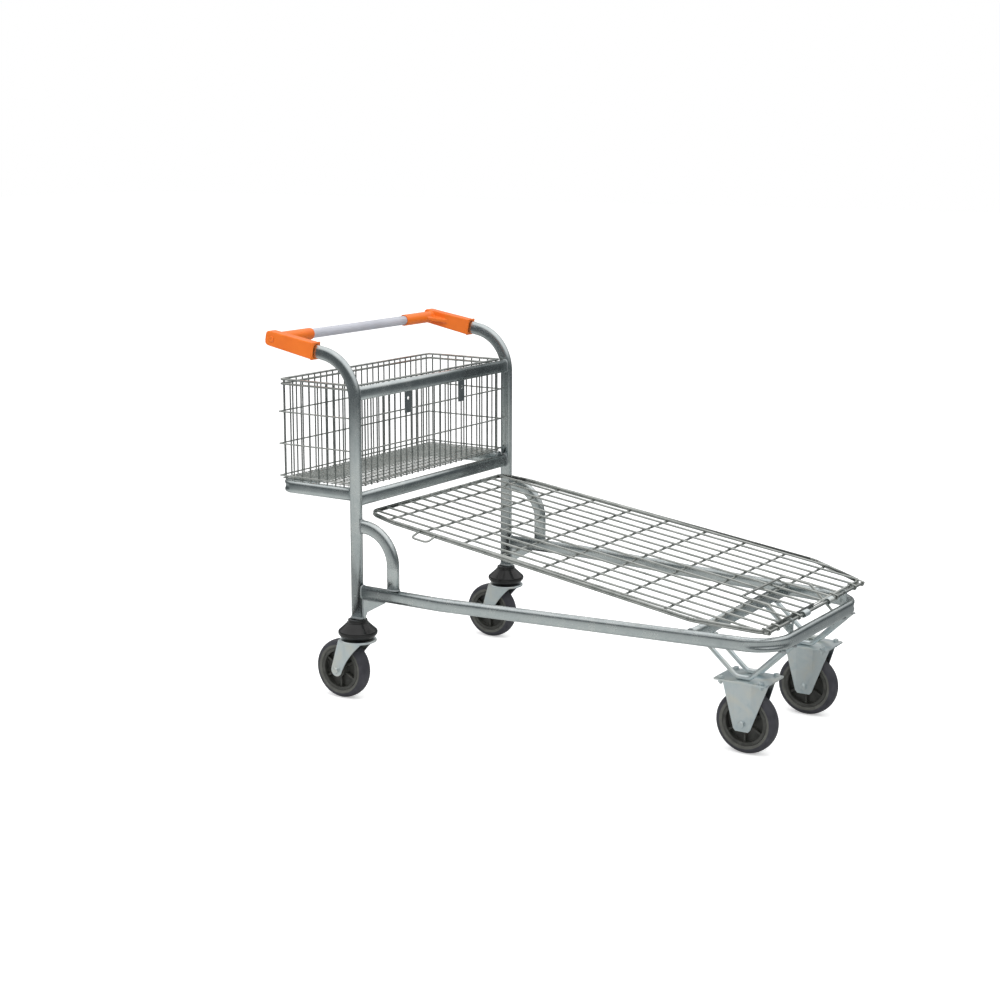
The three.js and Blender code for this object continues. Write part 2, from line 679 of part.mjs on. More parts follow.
// Rigid front fork: a bolted plate with two tapered legs. Its origin is the axle.
function frontFork() {
  const under = frontPlateZ - wheelRadius;
  const outline = [
    [-FRONT_LEG_TOP / 2, under + 1],
    [-FRONT_LEG_FOOT / 2, -FRONT_LEG_DROP + FRONT_LEG_CORNER],
    [-FRONT_LEG_FOOT / 2 + FRONT_LEG_CORNER, -FRONT_LEG_DROP],
    [FRONT_LEG_FOOT / 2 - FRONT_LEG_CORNER, -FRONT_LEG_DROP],
    [FRONT_LEG_FOOT / 2, -FRONT_LEG_DROP + FRONT_LEG_CORNER],
    [FRONT_LEG_TOP / 2, under + 1],
  ];
  const leg = polygon(outline);
  leg.holes.push(circleHole(0, 0, AXLE_DIAMETER / 2 + PIN_GAP));
  const top = new THREE.BoxGeometry(FRONT_PLATE_LENGTH, FRONT_PLATE_WIDTH, FRONT_PLATE_THICKNESS);
  top.translate(0, 0, under + FRONT_PLATE_THICKNESS / 2);
  return carve([top, ...legPlates(leg)]);
}

// Swivelling rear fork: a round crown with two swept-back legs. Its origin is on the swivel axis.
function rearFork() {
  const legY = (FORK_INNER_WIDTH + FORK_SHEET) / 2;
  const crownHalf = Math.sqrt((CROWN_DIAMETER / 2) ** 2 - (legY + FORK_SHEET) ** 2);
  const leg = new THREE.Shape();
  leg.moveTo(crownHalf, crownZ + 1);
  leg.lineTo(-crownHalf, crownZ + 1);
  const steps = 8;
  for (let i = 0; i <= steps; i++) {
    const angle = Math.PI + (Math.PI * i) / steps;
    const x = -REAR_TRAIL + REAR_LEG_END_RADIUS * Math.cos(angle);
    leg.lineTo(x, wheelRadius + REAR_LEG_END_RADIUS * Math.sin(angle));
  }
  leg.closePath();
  leg.holes.push(circleHole(-REAR_TRAIL, wheelRadius, AXLE_DIAMETER / 2 + PIN_GAP));
  const crownRadius = CROWN_DIAMETER / 2;
  const bore = KINGPIN_DIAMETER / 2 + PIN_GAP;
  const crown = turnedUpright([
    [bore, crownZ],
    [crownRadius, crownZ],
    [crownRadius, crownZ + FORK_SHEET],
    [bore, crownZ + FORK_SHEET],
    [bore, crownZ],
  ]);
  return carve([crown, ...legPlates(leg)]);
}

// Kingpin with its nut under the crown and a flat-oval plug that fills the foot of the upright.
function castorStem() {
  const pinRadius = KINGPIN_DIAMETER / 2;
  const nutTop = crownZ - PIN_GAP;
  const nutRadius = KINGPIN_NUT_DIAMETER / 2;
  const kingpin = turnedUpright([
    [0, nutTop - KINGPIN_NUT_HEIGHT],
    [nutRadius, nutTop - KINGPIN_NUT_HEIGHT],
    [nutRadius, nutTop],
    [pinRadius, nutTop],
    [pinRadius, uprightFootZ + 1],
    [0, uprightFootZ + 1],
  ]);
  const play = 2 * (TUBE_WALL + PIN_GAP);
  const plug = plate(flatOval(TUBE_DEPTH - play, TUBE_WIDTH - play), STEM_PLUG_HEIGHT);
  plug.translate(0, 0, uprightFootZ + STEM_PLUG_HEIGHT / 2);
  return carve([kingpin, plug]);
}

// Black plastic double cone between the crown and the upright: the bumper.
function bumper() {
  const bore = KINGPIN_DIAMETER / 2 + PIN_GAP;
  const widest = bumperZ + BUMPER_FOOT_HEIGHT;
  const top = bumperZ + BUMPER_HEIGHT;
  return turnedUpright([
    [bore, bumperZ],
    [BUMPER_FOOT_DIAMETER / 2, bumperZ],
    [BUMPER_DIAMETER / 2, widest - BUMPER_EDGE / 2],
    [BUMPER_DIAMETER / 2, widest + BUMPER_EDGE / 2],
    [BUMPER_TOP_DIAMETER / 2, top - BUMPER_COLLAR],
    [BUMPER_TOP_DIAMETER / 2, top],
    [bore, top],
    [bore, bumperZ],
  ]);
}

// ---- Deck ------------------------------------------------------------------------------------
// The deck's outline as distance behind the hinge and half width, front to rear.
const deckOutline = [
  [-DECK_EDGE_WIRE / 2, deckRearHalf - DECK_FRONT_TAPER],
  [DECK_KNEE, deckRearHalf + DECK_FLARE],
  [deckLength - DECK_REAR_TAPER_LENGTH, deckRearHalf],
  [deckLength, deckRearHalf - DECK_REAR_TAPER],
];

function deckShape(inset) {
  const right = deckOutline.map(([distance, half], i) => {
    const end = i === 0 ? -inset : i === deckOutline.length - 1 ? inset : 0;
    return [-distance + end, -(half - inset)];
  });
  const left = right.map(([x, y]) => [x, -y]).reverse();
  return polygon([...right, ...left]);
}

// Wires of the deck, drawn as square bars in one plane. Its origin is the hinge axis.
function deckGrid() {
  const inside = toSolid(plate(deckShape(DECK_EDGE_WIRE), 2 * DECK_WIRE));
  const widest = deckRearHalf + DECK_FLARE;
  const longWires = Math.floor((widest - DECK_EDGE_WIRE) / LONG_WIRE_PITCH);
  const crossWires = Math.floor((deckLength - DECK_EDGE_WIRE) / CROSS_WIRE_PITCH);
  let grid = toSolid(plate(deckShape(0), DECK_WIRE));
  for (let i = -longWires - 1; i <= longWires; i++) {
    for (let j = 0; j <= crossWires; j++) {
      const opening = new THREE.BoxGeometry(
        CROSS_WIRE_PITCH - DECK_WIRE,
        LONG_WIRE_PITCH - DECK_WIRE,
        3 * DECK_WIRE,
      );
      opening.translate(-(j + 0.5) * CROSS_WIRE_PITCH, (i + 0.5) * LONG_WIRE_PITCH, 0);
      grid = grid.subtract(toSolid(opening).intersect(inside));
    }
  }
  return toGeometry(grid);
}

// Half the deck's width at a distance behind the hinge.
function deckHalf(distance) {
  const i = deckOutline.findIndex(([place]) => place >= distance);
  const [from, halfFrom] = deckOutline[i - 1];
  const [to, halfTo] = deckOutline[i];
  return halfFrom + ((halfTo - halfFrom) * (distance - from)) / (to - from);
}

// Side loop that lands on the chassis rail when the deck is pressed down.
function restLoop(side) {
  const near = loopCentre - LOOP_LENGTH / 2;
  const far = loopCentre + LOOP_LENGTH / 2;
  const out = deckHalf(loopCentre) + LOOP_REACH;
  const stand = 2 * WELD_GAP + (DECK_WIRE / 2) * (LOOP_DROP / LOOP_REACH); // its ends are cut sloping
  const corners = [
    [-near, side * (deckHalf(near) + stand), 0],
    [-near, side * out, -LOOP_DROP],
    [-far, side * out, -LOOP_DROP],
    [-far, side * (deckHalf(far) + stand), 0],
  ];
  return rod(DECK_WIRE, bentRoute(corners, [LOOP_RADIUS, LOOP_RADIUS], 3));
}

// Turns a place on the raised deck into the frame's own coordinates.
function onRaisedDeck(distance, y, height) {
  const place = new THREE.Vector3(-distance, y, height).applyAxisAngle(ACROSS, deckAngle);
  return [hingeX + place.x, place.y, hingeZ + place.z];
}

// Fixed wire bow over the deck, which stops it when the springs have raised it.
function stopBow() {
  const height = DECK_WIRE / 2 + BOW_WIRE / 2 + BOW_CLEARANCE;
  const foot = frontRailX - TUBE_WIDTH / 2 - BOW_WIRE / 2 - WELD_GAP;
  const y = BOW_HALF_WIDTH;
  const corners = [
    [foot, -y, CHASSIS_Z],
    onRaisedDeck(BOW_NEAR, -y, height),
    onRaisedDeck(BOW_FAR, -y, height),
    onRaisedDeck(BOW_FAR, y, height),
    onRaisedDeck(BOW_NEAR, y, height),
    [foot, y, CHASSIS_Z],
  ];
  const radii = [BOW_RADIUS, BOW_RADIUS, BOW_RADIUS, BOW_RADIUS];
  return rod(BOW_WIRE, bentRoute(corners, radii, 3));
}

// Upright lug with an eye that the deck's front wire turns in.
function hingeBracket(y) {
  const eye = Math.hypot(DECK_EDGE_WIRE, DECK_WIRE) / 2 + PIN_GAP;
  const outer = eye + BRACKET_WALL;
  const points = [];
  const steps = 8;
  for (let i = 0; i <= steps; i++) {
    const angle = (Math.PI * i) / steps;
    points.push([hingeX + outer * Math.cos(angle), hingeZ + outer * Math.sin(angle)]);
  }
  points.push([hingeX - outer, railTop + WELD_GAP]);
  points.push([hingeX + outer, railTop + WELD_GAP]);
  const shape = polygon(points);
  shape.holes.push(circleHole(hingeX, hingeZ, eye / Math.cos(Math.PI / (ROUND_SIDES / 2))));
  return sideways(plate(shape, BRACKET_THICKNESS), y);
}

// Outer shape of the torsion spring wound round the deck's front wire.
function hingeSpring(y) {
  const inner = Math.hypot(DECK_EDGE_WIRE, DECK_WIRE) / 2 + 1;
  const outer = inner + SPRING_WIRE;
  const half = SPRING_LENGTH / 2;
  const ring = turned([[inner, -half], [outer, -half], [outer, half], [inner, half], [inner, -half]]);
  return ring.translate(hingeX, y, hingeZ);
}

// ---- Assembly --------------------------------------------------------------------------------
addPiece("chassis_rail", chassisRail(), zinc);
const crossMemberX = CHASSIS_REACH - CROSS_MEMBER_SETBACK;
const crossMemberHalf = railInnerHalf(crossMemberX + TUBE_WIDTH / 2) - WELD_GAP;
addPiece("chassis_cross_member", straightRail(crossMemberX, CHASSIS_Z, crossMemberHalf), zinc);
addPiece("basket_top_rail", straightRail(0, TOP_RAIL_Z, innerHalf - WELD_GAP), zinc);
addPiece("basket_lower_rail", straightRail(0, LOWER_RAIL_Z, innerHalf - WELD_GAP), zinc);
addPiece("basket_base_rail", baseRail(), zinc);
addPiece("basket_front_wall", crossWall(frontWallX), wireZinc);
addPiece("basket_rear_wall", crossWall(-BASKET_DEPTH), wireZinc);
addPiece("basket_floor", basketFloor(), wireZinc);
addPiece("basket_rim_wire", basketRim(), wireZinc);
addPiece("deck_stop_bow", stopBow(), wireZinc);

const handleLine = new THREE.Group();
handleLine.position.z = HANDLE_CORNER_Z;
handleLine.rotation.y = handleRise;
trolley.add(handleLine);
const sleeveHalf = TUBE_WIDTH / 2 + PIN_GAP + ELBOW_WALL;
const gripHalf = uprightY - sleeveHalf - SOCKET_LENGTH + GRIP_ENGAGEMENT;
const gripOuter = GRIP_DIAMETER / 2;
const gripInner = gripOuter - GRIP_WALL;
const gripProfile = [
  [gripInner, -gripHalf],
  [gripOuter, -gripHalf],
  [gripOuter, gripHalf],
  [gripInner, gripHalf],
  [gripInner, -gripHalf],
];
addPiece("handle_grip", turned(gripProfile).translate(-GRIP_DISTANCE, 0, 0), greyPlastic, handleLine);

const deck = new THREE.Group();
deck.position.set(hingeX, 0, hingeZ);
deck.rotation.y = deckAngle;
trolley.add(deck);
addPiece("deck_grid", deckGrid(), wireZinc, deck);

for (const [sideName, side] of [["right", -1], ["left", 1]]) {
  const y = side * uprightY;
  addPiece(`${sideName}_upright`, upright(y), zinc);
  addPiece(`${sideName}_arch_brace`, archBrace(y), zinc);
  addPiece(`${sideName}_gusset`, gusset(y), zinc);
  addPiece(`${sideName}_basket_wall`, sideWall(side * wallY), wireZinc);
  addPiece(`${sideName}_hanger_plate`, hangerPlate(side * HANGER_PLATE_Y), zinc);
  addPiece(`${sideName}_hinge_bracket`, hingeBracket(side * BRACKET_Y), zinc);
  addPiece(`${sideName}_hinge_spring`, hingeSpring(side * SPRING_Y), brightZinc);
  addPiece(`${sideName}_rest_loop`, restLoop(side), wireZinc, deck);
  addPiece(`${sideName}_handle_elbow`, elbow(side), orangePlastic, handleLine).position.y = y;
  addPiece(`${sideName}_elbow_screw`, elbowScrew(side), orangePlastic, handleLine).position.y = y;

  const frontY = (side * FRONT_TRACK) / 2;
  addPiece(`${sideName}_inner_hanger_rod`, hangerRod(frontY - (side * HANGER_ROD_SPACING) / 2), brightZinc);
  addPiece(`${sideName}_outer_hanger_rod`, hangerRod(frontY + (side * HANGER_ROD_SPACING) / 2), brightZinc);
  const frontCastor = new THREE.Group();
  frontCastor.position.set(frontAxleX, frontY, wheelRadius);
  trolley.add(frontCastor);
  addPiece(`${sideName}_front_fork`, frontFork(), brightZinc, frontCastor);
  addPiece(`${sideName}_front_axle`, axle(), brightZinc, frontCastor);
  addPiece(`${sideName}_front_rim`, rim(), darkHub, frontCastor);
  addPiece(`${sideName}_front_tyre`, tyre(), greyRubber, frontCastor);

  const rearCastor = new THREE.Group();
  rearCastor.position.y = y;
  trolley.add(rearCastor);
  addPiece(`${sideName}_castor_bumper`, bumper(), blackPlastic, rearCastor);
  addPiece(`${sideName}_castor_stem`, castorStem(), brightZinc, rearCastor);
  addPiece(`${sideName}_rear_fork`, rearFork(), brightZinc, rearCastor);
  const rearWheel = new THREE.Group();
  rearWheel.position.set(-REAR_TRAIL, 0, wheelRadius);
  rearCastor.add(rearWheel);
  addPiece(`${sideName}_rear_axle`, axle(), brightZinc, rearWheel);
  addPiece(`${sideName}_rear_rim`, rim(), darkHub, rearWheel);
  addPiece(`${sideName}_rear_tyre`, tyre(), greyRubber, rearWheel);
}

const extent = new THREE.Box3().setFromObject(trolley, true);
trolley.position.x = -(extent.min.x + extent.max.x) / 2;

export default trolley;
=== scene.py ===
import json
import math
from itertools import product

import bmesh
import bpy
from mathutils import Matrix, Vector


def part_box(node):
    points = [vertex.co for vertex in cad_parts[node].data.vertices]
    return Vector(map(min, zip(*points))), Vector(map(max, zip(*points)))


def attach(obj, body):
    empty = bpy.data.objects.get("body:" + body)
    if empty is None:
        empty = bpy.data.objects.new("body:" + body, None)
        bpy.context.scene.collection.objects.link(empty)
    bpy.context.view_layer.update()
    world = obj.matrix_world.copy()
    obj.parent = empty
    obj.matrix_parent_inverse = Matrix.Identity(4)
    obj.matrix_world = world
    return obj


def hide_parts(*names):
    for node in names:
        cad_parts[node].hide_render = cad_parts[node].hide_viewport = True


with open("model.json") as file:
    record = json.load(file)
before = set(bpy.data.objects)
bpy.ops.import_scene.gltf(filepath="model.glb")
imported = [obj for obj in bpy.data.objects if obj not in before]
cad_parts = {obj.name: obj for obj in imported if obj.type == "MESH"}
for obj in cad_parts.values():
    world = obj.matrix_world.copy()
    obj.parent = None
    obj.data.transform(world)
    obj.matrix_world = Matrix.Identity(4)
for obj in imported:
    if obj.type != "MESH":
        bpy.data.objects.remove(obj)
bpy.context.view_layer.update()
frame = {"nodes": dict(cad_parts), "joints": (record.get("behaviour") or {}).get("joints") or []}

scene = bpy.context.scene

# Studio: the camera stands low at the trolley's front right, as a buyer sees it in a row of trolleys.
# A white room with a dark band at eye level, which is what gives bright zinc its dark flats.
camera_place = Vector((2.42879, -4.09862, 1.48970))
camera_azimuth = math.radians(32.936)
camera_elevation = math.radians(11.389)
camera_roll = math.radians(0.103)
camera_data = bpy.data.cameras.new("camera")
camera_data.lens = 65.815
camera_data.sensor_width = 36
camera_data.clip_start = 0.1
camera = bpy.data.objects.new("camera", camera_data)
scene.collection.objects.link(camera)
turned = Matrix.Rotation(camera_azimuth, 4, "Z") @ Matrix.Rotation(math.pi / 2 - camera_elevation, 4, "X")
camera.matrix_world = Matrix.Translation(camera_place) @ turned @ Matrix.Rotation(camera_roll, 4, "Z")
scene.camera = camera
scene.view_settings.view_transform = "Standard"


def add(tree, kind, values=None, **properties):
    """Adds a node to a tree. A value that is another node's socket is linked."""
    node = tree.nodes.new(kind)
    for key, value in properties.items():
        setattr(node, key, value)
    for socket, value in (values or {}).items():
        if isinstance(value, bpy.types.NodeSocket):
            tree.links.new(value, node.inputs[socket])
        else:
            node.inputs[socket].default_value = value
    return node


def ramp(tree, factor, *stops):
    """A colour ramp over (position, colour) stops."""
    node = add(tree, "ShaderNodeValToRGB", {"Fac": factor})
    while len(node.color_ramp.elements) < len(stops):
        node.color_ramp.elements.new(0.5)
    for element, (position, colour) in zip(node.color_ramp.elements, stops):
        element.position = position
        element.color = (*colour, 1)
    return node.outputs["Color"]


def grey(level):
    return (level, level, level)


world = bpy.data.worlds.new("white_room")
scene.world = world
world.use_nodes = True
room = world.node_tree
room.nodes.clear()
direction = add(room, "ShaderNodeTexCoord").outputs["Generated"]
height = add(room, "ShaderNodeSeparateXYZ", {0: direction}).outputs["Z"]
height = add(room, "ShaderNodeMapRange", {"Value": height, "From Min": -1, "From Max": 1}).outputs["Result"]
walls = ramp(
    room,
    height,
    (0.0, (0.30, 0.31, 0.31)),
    (0.44, (0.16, 0.17, 0.17)),
    (0.53, (0.085, 0.10, 0.105)),
    (0.62, (0.24, 0.25, 0.25)),
    (0.74, grey(0.85)),
    (1.0, grey(1.15)),
)
seen = add(room, "ShaderNodeLightPath").outputs["Is Camera Ray"]
plain = add(room, "ShaderNodeMix", {"Factor": seen, 6: walls, 7: (1, 1, 1, 1)}, data_type="RGBA")
background = add(room, "ShaderNodeBackground", {"Color": plain.outputs[2], "Strength": 1.0})
add(room, "ShaderNodeOutputWorld", {"Surface": background.outputs[0]})

for name, place, size, power in (
    ("overhead_panel", Vector((0.3, -0.6, 3.4)), 3.2, 52),
    ("front_right_panel", Vector((3.4, -2.6, 2.6)), 1.4, 24),
    ("left_panel", Vector((-2.6, -3.2, 2.4)), 1.6, 26),
):
    panel_data = bpy.data.lights.new(name, "AREA")
    panel_data.size = size
    panel_data.energy = power
    panel = bpy.data.objects.new(name, panel_data)
    panel.visible_glossy = False
    scene.collection.objects.link(panel)
    aim = Vector((0, 0, 0.4)) - place
    panel.matrix_world = Matrix.Translation(place) @ aim.to_track_quat("-Z", "Y").to_matrix().to_4x4()

floor_reach = 30
floor_mesh = bpy.data.meshes.new("studio_floor")
floor_corners = [(x * floor_reach, y * floor_reach, 0) for x, y in ((-1, -1), (1, -1), (1, 1), (-1, 1))]
floor_mesh.from_pydata(floor_corners, [], [(0, 1, 2, 3)])
floor = bpy.data.objects.new("studio_floor", floor_mesh)
scene.collection.objects.link(floor)
paper = bpy.data.materials.new("pale_floor")
paper.use_nodes = True
paper.node_tree.nodes.clear()
sheet_tree = paper.node_tree
rays = add(sheet_tree, "ShaderNodeLightPath").outputs
flat_place = add(sheet_tree, "ShaderNodeTexCoord").outputs["Object"]
flat_place = add(sheet_tree, "ShaderNodeVectorMath", {0: flat_place, 1: (0.5, 0.8, 0)}, operation="ADD").outputs[0]
away = add(sheet_tree, "ShaderNodeVectorMath", {0: flat_place}, operation="LENGTH").outputs["Value"]
away = add(sheet_tree, "ShaderNodeMapRange", {"Value": away, "From Min": 0.7, "From Max": 4.5}).outputs["Result"]
# Painted reflection: glossy rays see the floor painted darker the farther it lies from the trolley, a painted dark
# surround that gives the zinc its dark flats. Camera and diffuse rays see it pale.
painted_dark_reflection = ramp(sheet_tree, away, (0.0, (0.50, 0.51, 0.50)), (0.4, (0.26, 0.27, 0.27)), (1.0, (0.10, 0.11, 0.115)))
pale_with_painted_reflection = add(
    sheet_tree,
    "ShaderNodeMix",
    {0: rays["Is Glossy Ray"], 6: (0.92, 0.92, 0.92, 1), 7: painted_dark_reflection},
    data_type="RGBA",
)
matt = add(sheet_tree, "ShaderNodeBsdfDiffuse", {"Color": pale_with_painted_reflection.outputs[2]})
lift = add(sheet_tree, "ShaderNodeMath", {0: rays["Is Camera Ray"], 1: 0.42}, operation="MULTIPLY")
glow = add(sheet_tree, "ShaderNodeEmission", {"Strength": lift.outputs[0]})
both = add(sheet_tree, "ShaderNodeAddShader", {0: matt.outputs[0], 1: glow.outputs[0]})
add(sheet_tree, "ShaderNodeOutputMaterial", {"Surface": both.outputs[0]})
floor_mesh.materials.append(paper)


# Frame tube: cold-rolled flat-oval steel tube, 36 x 20 mm, bent cold and hot-dip or electro galvanised
# after welding. The rail is one length, bent to a U that narrows to the front; its outer wall sinks in a
# little at the tight front corners. A straight cross member closes it behind the front castors.
tube_deep = 0.036
tube_wide = 0.020
upright_x = -0.440
upright_y = 0.3635
chassis_z = 0.298
chassis_front_x = 0.726
cross_member_x = 0.500
cross_member_half = 0.2743


def bent_path(corners, radii, steps=9):
    """Points along straight stretches joined by arcs, each with its share of the bend from 0 to 1."""
    points = [(Vector(corners[0]), 0.0)]
    for before, corner, after, radius in zip(corners, corners[1:], corners[2:], radii):
        corner = Vector(corner)
        arriving = (corner - Vector(before)).normalized()
        leaving = (Vector(after) - corner).normalized()
        half_turn = arriving.angle(leaving) / 2
        reach = radius * math.tan(half_turn)
        centre = corner + (leaving - arriving).normalized() * radius / math.cos(half_turn)
        start = corner - arriving * reach - centre
        axis = arriving.cross(leaving).normalized()
        for step in range(steps + 1):
            share = step / steps
            turned = Matrix.Rotation(2 * half_turn * share, 3, axis) @ start
            points.append((centre + turned, math.sin(math.pi * share)))
    points.append((Vector(corners[-1]), 0.0))
    return points


def oval_section(along, across, end_steps=8, crown=0.0004):
    """A flat oval, as (along, across) pairs going round once. Its flats stand out by the crown."""
    radius = min(along, across) / 2 - crown
    flat = max(along, across) / 2 - radius
    upright = along > across
    pairs = []
    for end in (1, -1):
        for step in range(end_steps + 1):
            turn = math.pi * step / end_steps - math.pi / 2
            far = end * (flat + radius * math.cos(turn))
            near = end * radius * math.sin(turn)
            pairs.append((far, near) if upright else (near, -far))
        for share in (0.2, 0.4, 0.6, 0.8):
            far = end * flat * (1 - 2 * share)
            near = end * (radius + crown * 4 * share * (1 - share))
            pairs.append((far, near) if upright else (near, -far))
    return pairs


def swept_tube(mesh, path, fixed, along, across, dent=0.0, slide=0.0):
    """Adds a capped flat-oval tube to a bmesh. Its section keeps one side along the fixed axis."""
    section = oval_section(along, across)
    uv_layer = mesh.loops.layers.uv.verify()
    rings = []
    travelled = []
    length = slide
    for index, (point, bend) in enumerate(path):
        before = path[max(index - 1, 0)][0]
        after = path[min(index + 1, len(path) - 1)][0]
        heading = (after - before).normalized()
        sideways = fixed.cross(heading).normalized()
        if index:
            length += (point - before).length
        ring = []
        for up, side in section:
            sunk = dent * bend * math.cos(min(abs(up) / 0.011, 1) * math.pi / 2) ** 2 if side < 0 else 0
            ring.append(mesh.verts.new(point + fixed * up + sideways * (side + sunk)))
        rings.append(ring)
        travelled.append(length)
    round_steps = [0.0]
    for pair, following in zip(section, section[1:] + section[:1]):
        round_steps.append(round_steps[-1] + (Vector(pair) - Vector(following)).length)
    for index, (ring, further) in enumerate(zip(rings, rings[1:])):
        for k in range(len(ring)):
            following = (k + 1) % len(ring)
            face = mesh.faces.new((ring[k], ring[following], further[following], further[k]))
            face.smooth = True
            places = ((index, k), (index, k + 1), (index + 1, k + 1), (index + 1, k))
            for loop, (ring_index, around) in zip(face.loops, places):
                loop[uv_layer].uv = (travelled[ring_index], round_steps[around])
    for ring in (rings[0], rings[-1]):
        cap = mesh.faces.new(ring)
        for loop, (up, side) in zip(cap.loops, section):
            loop[uv_layer].uv = (up, side)


def finished(name, mesh, material):
    """Turns a bmesh into a piece with its faces pointing outwards."""
    bmesh.ops.remove_doubles(mesh, verts=mesh.verts, dist=1e-6)
    bmesh.ops.recalc_face_normals(mesh, faces=mesh.faces)
    data = bpy.data.meshes.new(name)
    mesh.to_mesh(data)
    mesh.free()
    data.materials.append(material)
    piece = bpy.data.objects.new(name, data)
    scene.collection.objects.link(piece)
    return piece


def fitted(piece, body, slot, *nodes):
    """The piece rides on its body and stands for its CAD nodes. The slot is not used."""
    if nodes:
        piece.name = f"finished_{nodes[0]}"
    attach(piece, body)
    if nodes:
        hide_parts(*nodes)
    return piece


def new_finish(name, **settings):
    """A material with its surface shader. Uniform settings go straight on the shader's sockets."""
    material = bpy.data.materials.new(name)
    material.use_nodes = True
    tree = material.node_tree
    shader = tree.nodes["Principled BSDF"]
    for socket, value in settings.items():
        shader.inputs[socket.replace("_", " ")].default_value = value
    return material, tree, shader


def wire_up(tree, shader, **sockets):
    for socket, output in sockets.items():
        tree.links.new(output, shader.inputs[socket.replace("_", " ")])


def bumped(tree, height_output, strength, distance):
    bump = add(tree, "ShaderNodeBump", {"Strength": strength, "Distance": distance, "Height": height_output})
    return bump.outputs["Normal"]


galvanised, tree, shader = new_finish("galvanised_tube", Metallic=1.0)
lengthways = add(tree, "ShaderNodeMapping", {"Vector": add(tree, "ShaderNodeUVMap").outputs[0], "Scale": (9, 420, 1)})
drawn_lines = add(tree, "ShaderNodeTexNoise", {"Vector": lengthways.outputs[0], "Scale": 1.0, "Detail": 3.0})
solid = add(tree, "ShaderNodeTexCoord").outputs["Object"]
clouds = add(tree, "ShaderNodeTexNoise", {"Vector": solid, "Scale": 26.0, "Detail": 5.0, "Roughness": 0.6})
spangle = add(tree, "ShaderNodeTexVoronoi", {"Vector": solid, "Scale": 210.0})
mottle = add(tree, "ShaderNodeMix", {0: 0.28, 2: clouds.outputs["Fac"], 3: drawn_lines.outputs["Fac"]})
mottle = add(tree, "ShaderNodeMix", {0: 0.12, 2: mottle.outputs[0], 3: spangle.outputs["Distance"]})
tint = ramp(tree, mottle.outputs[0], (0.28, (0.46, 0.51, 0.52)), (0.5, (0.59, 0.635, 0.64)), (0.74, (0.71, 0.74, 0.73)))
rough = add(tree, "ShaderNodeMapRange", {"Value": mottle.outputs[0], "From Min": 0.3, "From Max": 0.7})
rough.inputs["To Min"].default_value = 0.20
rough.inputs["To Max"].default_value = 0.30
relief = bumped(tree, drawn_lines.outputs["Fac"], 0.07, 0.0003)
wire_up(tree, shader, Base_Color=tint, Roughness=rough.outputs[0], Normal=relief)

up_axis = Vector((0, 0, 1))
side_axis = Vector((0, 1, 0))
rail_start = upright_x + tube_deep / 2 + 0.0003
rail_line_x = chassis_front_x - tube_wide / 2
corner_y = 0.261
corners = [
    (rail_start, -upright_y, chassis_z),
    (upright_x + 0.264, -upright_y, chassis_z),
    (rail_line_x, -corner_y, chassis_z),
    (rail_line_x, corner_y, chassis_z),
    (upright_x + 0.264, upright_y, chassis_z),
    (rail_start, upright_y, chassis_z),
]
rail_path = bent_path(corners, (0.25, 0.087, 0.087, 0.25), 14)
tight = [bend if point.x > 0.55 else 0.0 for point, bend in rail_path]
rail_path = [(point, bend) for (point, _), bend in zip(rail_path, tight)]
mesh = bmesh.new()
swept_tube(mesh, rail_path, up_axis, tube_deep, tube_wide, dent=0.0042)
fitted(finished("chassis_rail", mesh, galvanised), "frame", "galvanised_tube", "chassis_rail")

mesh = bmesh.new()
cross_path = [(Vector((cross_member_x, end * cross_member_half, chassis_z)), 0) for end in (-1, 0, 1)]
swept_tube(mesh, cross_path, up_axis, tube_deep, tube_wide, slide=0.3)
cross_member = finished("chassis_cross_member", mesh, galvanised)
fitted(cross_member, "frame", "galvanised_tube", "chassis_cross_member")


# Uprights and handle legs: each side is one tube, bent back over a former above the basket. The foot is
# cut square and holds the castor's plug.
foot_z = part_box("right_upright")[0].z
handle_corner_z = 0.9045
handle_rise = math.radians(10)
handle_leg = 0.228
handle_bend = 0.118
leg_heading = Vector((-math.cos(handle_rise), 0, math.sin(handle_rise)))
sides = {"right": -1, "left": 1}
for side, sign in sides.items():
    corner = Vector((upright_x, sign * upright_y, handle_corner_z))
    route = bent_path([(corner.x, corner.y, foot_z), corner, corner + leg_heading * handle_leg], (handle_bend,), 20)
    mesh = bmesh.new()
    swept_tube(mesh, route, side_axis, tube_wide, tube_deep, slide=0.7 * sign)
    fitted(finished(f"{side}_upright", mesh, galvanised), "frame", "galvanised_tube", f"{side}_upright")


# Arch braces: short bends of the same tube from the upright down to the chassis rail, and flat gusset
# plates under the joint. Both are welded; the plates are laser-cut sheet with broken edges.
for side, sign in sides.items():
    low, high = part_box(f"{side}_arch_brace")
    middle_y = (low.y + high.y) / 2
    middle_z = high.z - tube_deep / 2
    leg_x = high.x - tube_deep / 2
    # The brace is as deep as the rail, so its leg's centre is half a depth inside its outer face.
    route = bent_path(
        [(low.x, middle_y, middle_z), (leg_x, middle_y, middle_z), (leg_x, middle_y, low.z)], (0.096,), 16
    )
    mesh = bmesh.new()
    swept_tube(mesh, route, side_axis, tube_wide, tube_deep, slide=1.3 * sign)
    arch = finished(f"{side}_arch_brace", mesh, galvanised)
    fitted(arch, "frame", "galvanised_tube", f"{side}_arch_brace")


